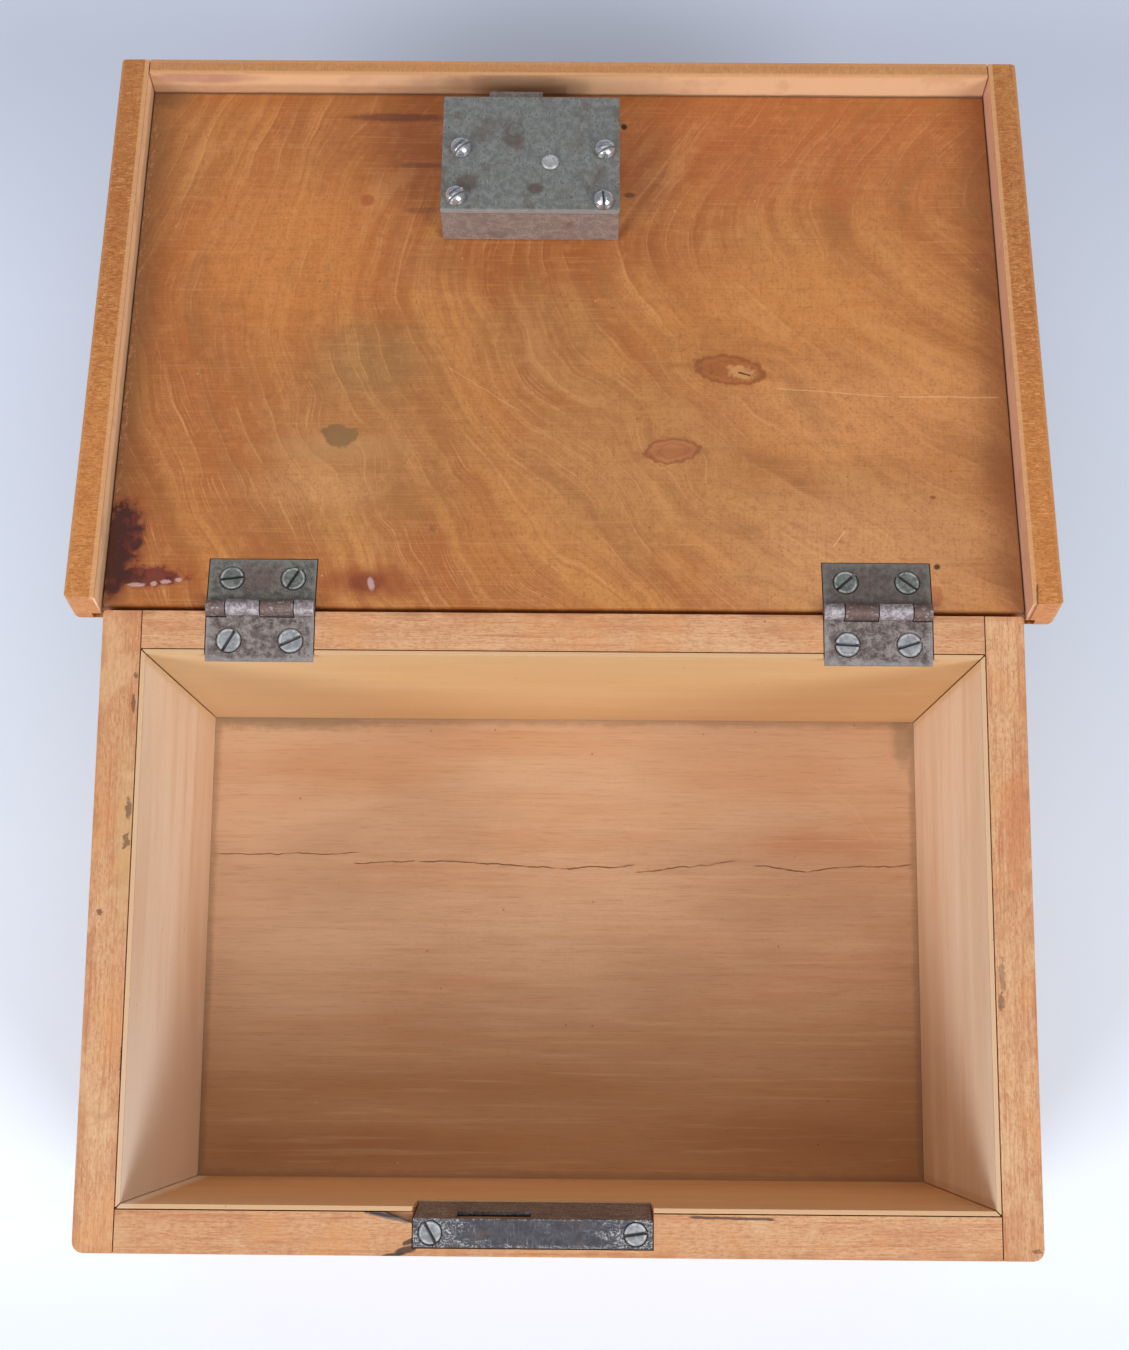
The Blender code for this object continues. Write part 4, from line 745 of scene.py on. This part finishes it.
def make_steel(name, place_of, dark, light, seed, marks=None, streak=(0.35, 4.0, 0.35)):
    """Old steel, where streak is the size of its scratches along each axis."""
    s = Shader(name)
    place = place_of(s)
    mottle = s.noise(place, 2.2, 5.0, 0.72, 0.3, seed)
    patch = s.noise(place, 8.0, 4.0, 0.6, 0.5, seed + 1)
    scuff = s.noise(place, streak, 4.0, 0.66, seed=seed + 4)
    fine = s.noise(place, 0.6, 3.0, 0.65, 0.0, seed + 2)
    speck = s.cells(place, (0.9, 1.5, 0.9), seed + 3)
    s.colour = s.blend(s.span(mottle, 0.38, 0.62), dark, light)
    s.paint(light, s.span(fine, 0.45, 0.7), 0.35)
    s.paint(light, s.span(scuff, 0.58, 0.7), 0.45)
    s.paint(BLACK, s.span(scuff, 0.42, 0.3), 0.35)
    s.paint((196, 194, 194), s.span(scuff, 0.6, 0.7), 0.35)
    s.paint(RUST, s.span(patch, 0.56, 0.7), 0.45)
    dots = s.times(s.fall(speck, 0.16, 0.34), s.span(mottle, 0.44, 0.56))
    s.paint(BLACK, dots, 0.6)
    if marks:
        marks(s, place)
    roughness = s.span(fine, 0.3, 0.7, 0.42, 0.6)
    height = s.subtract(s.times(mottle, 0.6), s.times(dots, 0.6))
    return s.finish(roughness, height, 0.03, 0.35)


def make_screw_steel(name, dark, light, metal, rough):
    """A slotted head with painted shade in its slot. A countersunk one has a bright worn rim and dirt round
    it.
    """
    s = Shader(f"{name}_look")
    low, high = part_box(name)
    middle = [(a + b) / 2 / MM for a, b in zip(low, high)]
    radius = (high[0] - low[0]) / 2 / MM
    place = s.vector("SUBTRACT", box_place(s), tuple(middle))
    reach = s.times(s.vector("LENGTH", s.vector("MULTIPLY", place, (1.0, 1.0, 0.0))), 1 / radius)
    mottle = s.noise(place, 1.6, 4.0, 0.66, 0.3, middle[0])
    turn = math.radians(SLOT_TURNS[name])
    run = (radius * math.cos(turn) * 1.2, radius * math.sin(turn) * 1.2)
    slot = s.stroke(place, (-run[0], -run[1]), run, SLOT_HALF_WIDTH)
    s.colour = s.blend(s.span(mottle, 0.38, 0.62), dark, light)
    if not name.startswith("lock"):
        rim = s.fall(s.abs(s.subtract(reach, 0.84)), 0.02, 0.1)
        s.paint((212, 212, 212), rim, s.span(mottle, 0.4, 0.55, 0.15, 0.75))
        s.paint((60, 54, 50), s.span(reach, 0.93, 1.0), 0.7)
    # Painted shade: the slot is painted dark, and below it is made rougher and not metal.
    s.paint((40, 32, 28), slot, 0.85)
    roughness = s.add(s.span(mottle, 0.3, 0.7, rough, rough * 1.4), s.times(slot, 0.4))
    return s.finish(roughness, mottle, 0.02, s.times(s.subtract(1.0, slot), metal))


def cover_marks(s, place):
    """Brown patches, a faint round scar and a worn edge on the hinges' side of the lock's cover."""
    u, v = LOCK_MIDDLE
    for centre, radii, share in (
            ((-18.9, -10.6), (3.4, 3.0), 0.6), ((1.6, -12.6), (2.4, 1.8), 0.7),
            ((-5.0, 6.0), (3.4, 3.0), 0.35), ((-8.0, 10.6), (5.0, 2.4), 0.25)):
        patch = s.blob(place, (u + centre[0], v + centre[1]), radii, 0.35, 1.3, 1.6)
        s.paint((96, 74, 64), patch, share)
    scar = s.abs(s.subtract(s.spot(place, (u - 4.8, v + 8.2), (2.7, 2.7), 0.2), 0.9))
    s.paint((84, 82, 78), s.fall(scar, 0.0, 0.2), 0.45)
    s.paint((190, 186, 182), s.span(s.split(place)[1], v - 19.3, v - 20.2), 0.5)


def leaf_edge(s, place, x, far):
    """1 at the free edges of a hinge's leaf, worn and painted paler as a highlight, where far is how far the
    edge across from the pin is.
    """
    sideways = s.least(*[s.abs(s.subtract(x, middle)) for middle in LEAF_MIDDLES])
    rim = s.least(s.subtract(LEAF_HALF_WIDTH, sideways), far)
    return s.fall(s.add(rim, s.times(s.wobble(place, 2.4), 5.0)), 0.0, 2.2)


def leaf_marks(s, place):
    """The right lid leaf is browner than the left one, and both have brown barrels worn bright in spots, with
    painted highlights.
    """
    u, v, _ = s.split(place)
    s.paint((96, 76, 72), s.span(u, -5.0, 5.0, 0.0, 0.5))
    rusty = s.blob(place, (-85.0, 9.0), (6.5, 4.6), 0.6, 1.4, 3.0)
    s.paint((112, 84, 80), rusty, 0.5)
    edge = leaf_edge(s, place, u, s.subtract(LEAF_REACH, v))
    # The free edges: wear and a painted highlight.
    s.paint((142, 146, 142), edge, 0.4)
    barrel = s.span(v, 3.0, 2.2)
    s.paint((112, 84, 80), barrel, 0.65)
    # Bright spots on the barrels: wear and painted highlights.
    worn = s.span(s.noise(place, (1.1, 0.8, 0.8), 5.0, 0.7, 0.3, 52.0), 0.54, 0.64)
    s.paint((204, 192, 190), barrel, worn, 0.6)


def knuckle_marks(s, place):
    """Bright worn metal on the barrels of the box's leaves."""
    x, y, z = s.split(place)
    edge = leaf_edge(s, place, x, s.subtract(y, LEAF_BACK))
    # The free edges: wear and a painted highlight.
    s.paint((168, 165, 166), edge, 0.5)
    barrel = s.span(z, WALL_TOP + 0.6, WALL_TOP + 1.4)
    s.paint((138, 125, 130), barrel, 0.8)
    worn = s.span(s.noise(place, (1.3, 1.6, 1.0), 5.0, 0.72, 0.4, 51.0), 0.42, 0.6, 0.0, 0.85)
    s.paint((194, 188, 192), barrel, worn)


def strike_marks(s, place):
    """Worn whitish flecks on the strike, thicker towards its ends and edges."""
    x, y, z = s.split(place)
    fleck = s.noise(place, (0.6, 0.4, 0.4), 5.0, 0.75, 0.5, 50.0)
    cluster = s.noise(place, (5.0, 2.2, 2.2), 3.0, 0.6, 0.0, 53.0)
    ends = s.span(s.abs(s.subtract(x, STRIKE_MIDDLE)), 12.0, 25.0, 0.0, 0.26)
    worn = s.span(s.add(cluster, ends), 0.56, 0.8)
    edge = s.most(s.span(y, STRIKE_FRONT + 0.3, STRIKE_FRONT + 1.1, 0.8, 0.0),
                  s.span(y, STRIKE_FRONT + 6.9, STRIKE_FRONT + 7.3, 0.0, 0.6))
    worn = s.times(s.span(fleck, 0.5, 0.58), s.most(worn, s.times(edge, s.span(cluster, 0.4, 0.5))))
    s.paint((206, 206, 206), worn, 0.9)
    arris = s.times(s.span(z, WALL_TOP + 0.2, WALL_TOP - 0.6, 0.0, 1.0), s.span(fleck, 0.4, 0.6))
    s.paint((140, 116, 104), arris, 0.4)


# The stand, the light and the camera

def add_floor():
    """A pale paper, a little darker behind the box, with painted light, a glow to the left that dims a little
    at the very front, which only the camera and reflections see.
    """
    mesh = bpy.data.meshes.new("floor")
    corners = [(x * FLOOR_HALF, y * FLOOR_HALF, 0) for x, y in ((-1, -1), (1, -1), (1, 1), (-1, 1))]
    mesh.from_pydata(corners, [], [(0, 1, 2, 3)])
    floor = bpy.data.objects.new("floor", mesh)
    bpy.context.scene.collection.objects.link(floor)
    s = Shader("floor_paper")
    x, y, _ = s.split(box_place(s))
    near = s.blend(s.span(y, -120.0, 20.0, smooth=False), (233, 241, 251), (230, 242, 254))
    s.colour = s.blend(s.span(y, 30.0, 320.0, smooth=False), near, (208, 216, 234))
    rays = s.node("ShaderNodeLightPath").outputs
    seen = s.most(rays["Is Camera Ray"], s.most(rays["Is Glossy Ray"], rays["Is Transmission Ray"]))
    # Painted light: the paper glows to the left, and dims a little at the very front
    left = s.times(s.span(x, -110.0, -230.0, 0.45, 1.0, smooth=False),
                   s.span(y, 330.0, 220.0, 0.1, 1.0, smooth=False))
    glow = s.times(seen, FLOOR_PAINTED_GLOW, s.times(left, s.span(y, -130.0, -90.0, -0.1, 1.0)))
    mesh.materials.append(s.finish(0.9, Emission_Color=linear(222, 228, 255), Emission_Strength=glow))


def add_light():
    for name, place, side, power in LAMPS:
        data = bpy.data.lights.new(name, "AREA")
        data.shape = "RECTANGLE"
        data.size = data.size_y = side
        data.energy = power
        lamp = bpy.data.objects.new(name, data)
        bpy.context.scene.collection.objects.link(lamp)
        lamp.location = place
        lamp.rotation_euler = (Vector(LAMP_TARGET) - Vector(place)).to_track_quat("-Z", "Y").to_euler()
    world = bpy.data.worlds.new("studio")
    bpy.context.scene.world = world
    world.use_nodes = True
    background = world.node_tree.nodes["Background"]
    background.inputs["Color"].default_value = WORLD_LINEAR_COLOUR
    background.inputs["Strength"].default_value = WORLD_STRENGTH


def add_camera():
    data = bpy.data.cameras.new("camera")
    data.sensor_width = SENSOR
    data.lens = FOCAL_PX / PHOTO_HEIGHT_PX * SENSOR
    camera = bpy.data.objects.new("camera", data)
    bpy.context.scene.collection.objects.link(camera)
    turn = Matrix.Rotation(math.radians(CAMERA_ROLL), 4, "Z")
    turn = turn @ Matrix.Rotation(math.radians(CAMERA_TILT), 4, "X")
    turn = turn @ Matrix.Rotation(math.radians(CAMERA_YAW), 4, "Y")
    camera.matrix_world = Matrix.Translation(CAMERA_PLACE) @ turn
    bpy.context.scene.camera = camera


def smoothing_group():
    """Geometry nodes that shade a mesh smooth, but for its sharp edges."""
    group = bpy.data.node_groups.new("smooth_by_angle", "GeometryNodeTree")
    group.interface.new_socket("Geometry", in_out="INPUT", socket_type="NodeSocketGeometry")
    group.interface.new_socket("Geometry", in_out="OUTPUT", socket_type="NodeSocketGeometry")
    start = group.nodes.new("NodeGroupInput")
    end = group.nodes.new("NodeGroupOutput")
    faces = group.nodes.new("GeometryNodeSetShadeSmooth")
    faces.domain = "FACE"
    faces.inputs["Shade Smooth"].default_value = True
    edges = group.nodes.new("GeometryNodeSetShadeSmooth")
    edges.domain = "EDGE"
    angle = group.nodes.new("GeometryNodeInputMeshEdgeAngle")
    soft = group.nodes.new("FunctionNodeCompare")
    soft.data_type = "FLOAT"
    soft.operation = "LESS_THAN"
    soft.inputs[1].default_value = ARRIS_ANGLE
    group.links.new(angle.outputs["Unsigned Angle"], soft.inputs[0])
    group.links.new(start.outputs[0], faces.inputs["Geometry"])
    group.links.new(faces.outputs[0], edges.inputs["Geometry"])
    group.links.new(soft.outputs[0], edges.inputs["Shade Smooth"])
    group.links.new(edges.outputs[0], end.inputs[0])
    return group


def soften(node, width, segments):
    """Rounds a CAD node's arrises, width millimetres wide, and keeps its broad faces flat to the light."""
    weld = node.modifiers.new("weld", "WELD")
    weld.merge_threshold = WELD_DISTANCE
    bevel = node.modifiers.new("arris", "BEVEL")
    bevel.width = width * MM
    bevel.segments = segments
    bevel.limit_method = "ANGLE"
    bevel.angle_limit = ARRIS_ANGLE
    smooth = node.modifiers.new("smooth", "NODES")
    smooth.node_group = SMOOTH
    flat = node.modifiers.new("flat", "WEIGHTED_NORMAL")
    flat.weight = 100
    flat.keep_sharp = True


def dress(names, material, width, segments=2):
    """Gives CAD nodes their material and rounded arrises."""
    for name in names:
        node = NODES[name]
        for slot in node.material_slots:
            slot.material = material
        soften(node, width, segments)


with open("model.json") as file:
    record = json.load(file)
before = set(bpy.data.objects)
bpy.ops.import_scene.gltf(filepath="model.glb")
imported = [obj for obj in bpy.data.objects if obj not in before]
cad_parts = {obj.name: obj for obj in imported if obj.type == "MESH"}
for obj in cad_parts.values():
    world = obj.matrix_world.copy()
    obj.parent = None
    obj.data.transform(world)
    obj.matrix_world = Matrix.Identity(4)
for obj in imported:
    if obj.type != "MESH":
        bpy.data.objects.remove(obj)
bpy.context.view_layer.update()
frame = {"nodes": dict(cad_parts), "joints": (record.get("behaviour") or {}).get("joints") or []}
NODES = frame["nodes"]
LID_JOINT = next(joint for joint in frame["joints"] if joint["name"] == "lid_hinge")
LEAN = math.radians(LID_JOINT["range_deg"][1] - 180)
HINGE = tuple(LID_JOINT["pos_m"])
SMOOTH = smoothing_group()

add_camera()
add_floor()
add_light()

dress(["left_wall"], make_wall_wood("left_wall_look", 1, (180.0, 20.0), 11.0, side_rim_marks), 0.5)
dress(["right_wall"], make_wall_wood("right_wall_look", 1, (190.0, -30.0), 23.0, side_rim_marks), 0.5)
dress(["front_wall"], make_wall_wood("front_wall_look", 0, (-40.0, 210.0), 31.0, end_rim_marks), 0.4)
dress(["back_wall"], make_wall_wood("back_wall_look", 0, (30.0, 200.0), 37.0, end_rim_marks), 0.4)
dress(["bottom_board"], make_floor_wood(), 0.2)
side_lining = make_lining_wood("side_lining_look", 1, (160.0, 40.0), 47.0,
                               ((250, 232, 212), (240, 212, 184), (232, 196, 166)), 0.55)
end_lining = make_lining_wood("end_lining_look", 0, (30.0, 200.0), 53.0,
                              ((242, 208, 166), (232, 190, 140), (224, 176, 130)), 1.0)
dress(["lining_left", "lining_right"], side_lining, 0.2)
dress(["lining_front", "lining_back"], end_lining, 0.2)
dress(["lid_panel"], make_panel_wood(), 0.2)
dress(["lid_rail_left", "lid_rail_right"], make_rail_wood("side_rail_look", 1, (60.0, 40.0), 81.0), 0.5)
dress(["lid_rail_front"], make_rail_wood("front_rail_look", 0, (260.0, 50.0), 91.0), 0.4)

cover_steel = make_steel("lock_cover_look", lid_place, (120, 120, 117), (144, 146, 143), 1.0, cover_marks)
case_steel = make_steel("lock_case_look", lid_place, (140, 127, 122), (166, 153, 148), 2.0)
hinge_steel = make_steel("hinge_look", box_place, (88, 74, 71), (152, 141, 138), 3.0, knuckle_marks,
                         (3.4, 0.3, 0.3))
leaf_steel = make_steel("lid_leaf_look", lid_place, (90, 86, 80), (134, 130, 124), 4.0, leaf_marks)
strike_steel = make_steel("strike_look", box_place, (62, 62, 70), (84, 84, 92), 5.0, strike_marks)
rivet_steel = make_steel("rivet_look", lid_place, (168, 168, 168), (200, 200, 200), 8.0)
for name in NODES:
    if name in SLOT_TURNS:
        look = ((138, 140, 144), (170, 172, 176), 0.5, 0.34)
        if name.startswith("lock"):
            look = ((196, 196, 200), (224, 224, 228), 0.95, 0.16)
        elif "lid" in name:
            look = ((108, 111, 108), (140, 143, 138), 0.5, 0.34)
        dress([name], make_screw_steel(name, *look), 0.1, 1)
    elif name == "drill_pin":
        dress([name], rivet_steel, 0.15)
    elif name.startswith("hinge_leaf_lid"):
        dress([name], leaf_steel, 0.15, 1)
    elif name.startswith("hinge"):
        dress([name], hinge_steel, 0.15, 1)
    elif name == "strike_plate":
        dress([name], strike_steel, 0.2)
    elif name == "lock_cover":
        dress([name], cover_steel, 0.15)
    elif name.startswith(("lock", "drill", "ward", "bolt")):
        dress([name], case_steel, 0.15)

bpy.context.scene.view_settings.view_transform = "Standard"
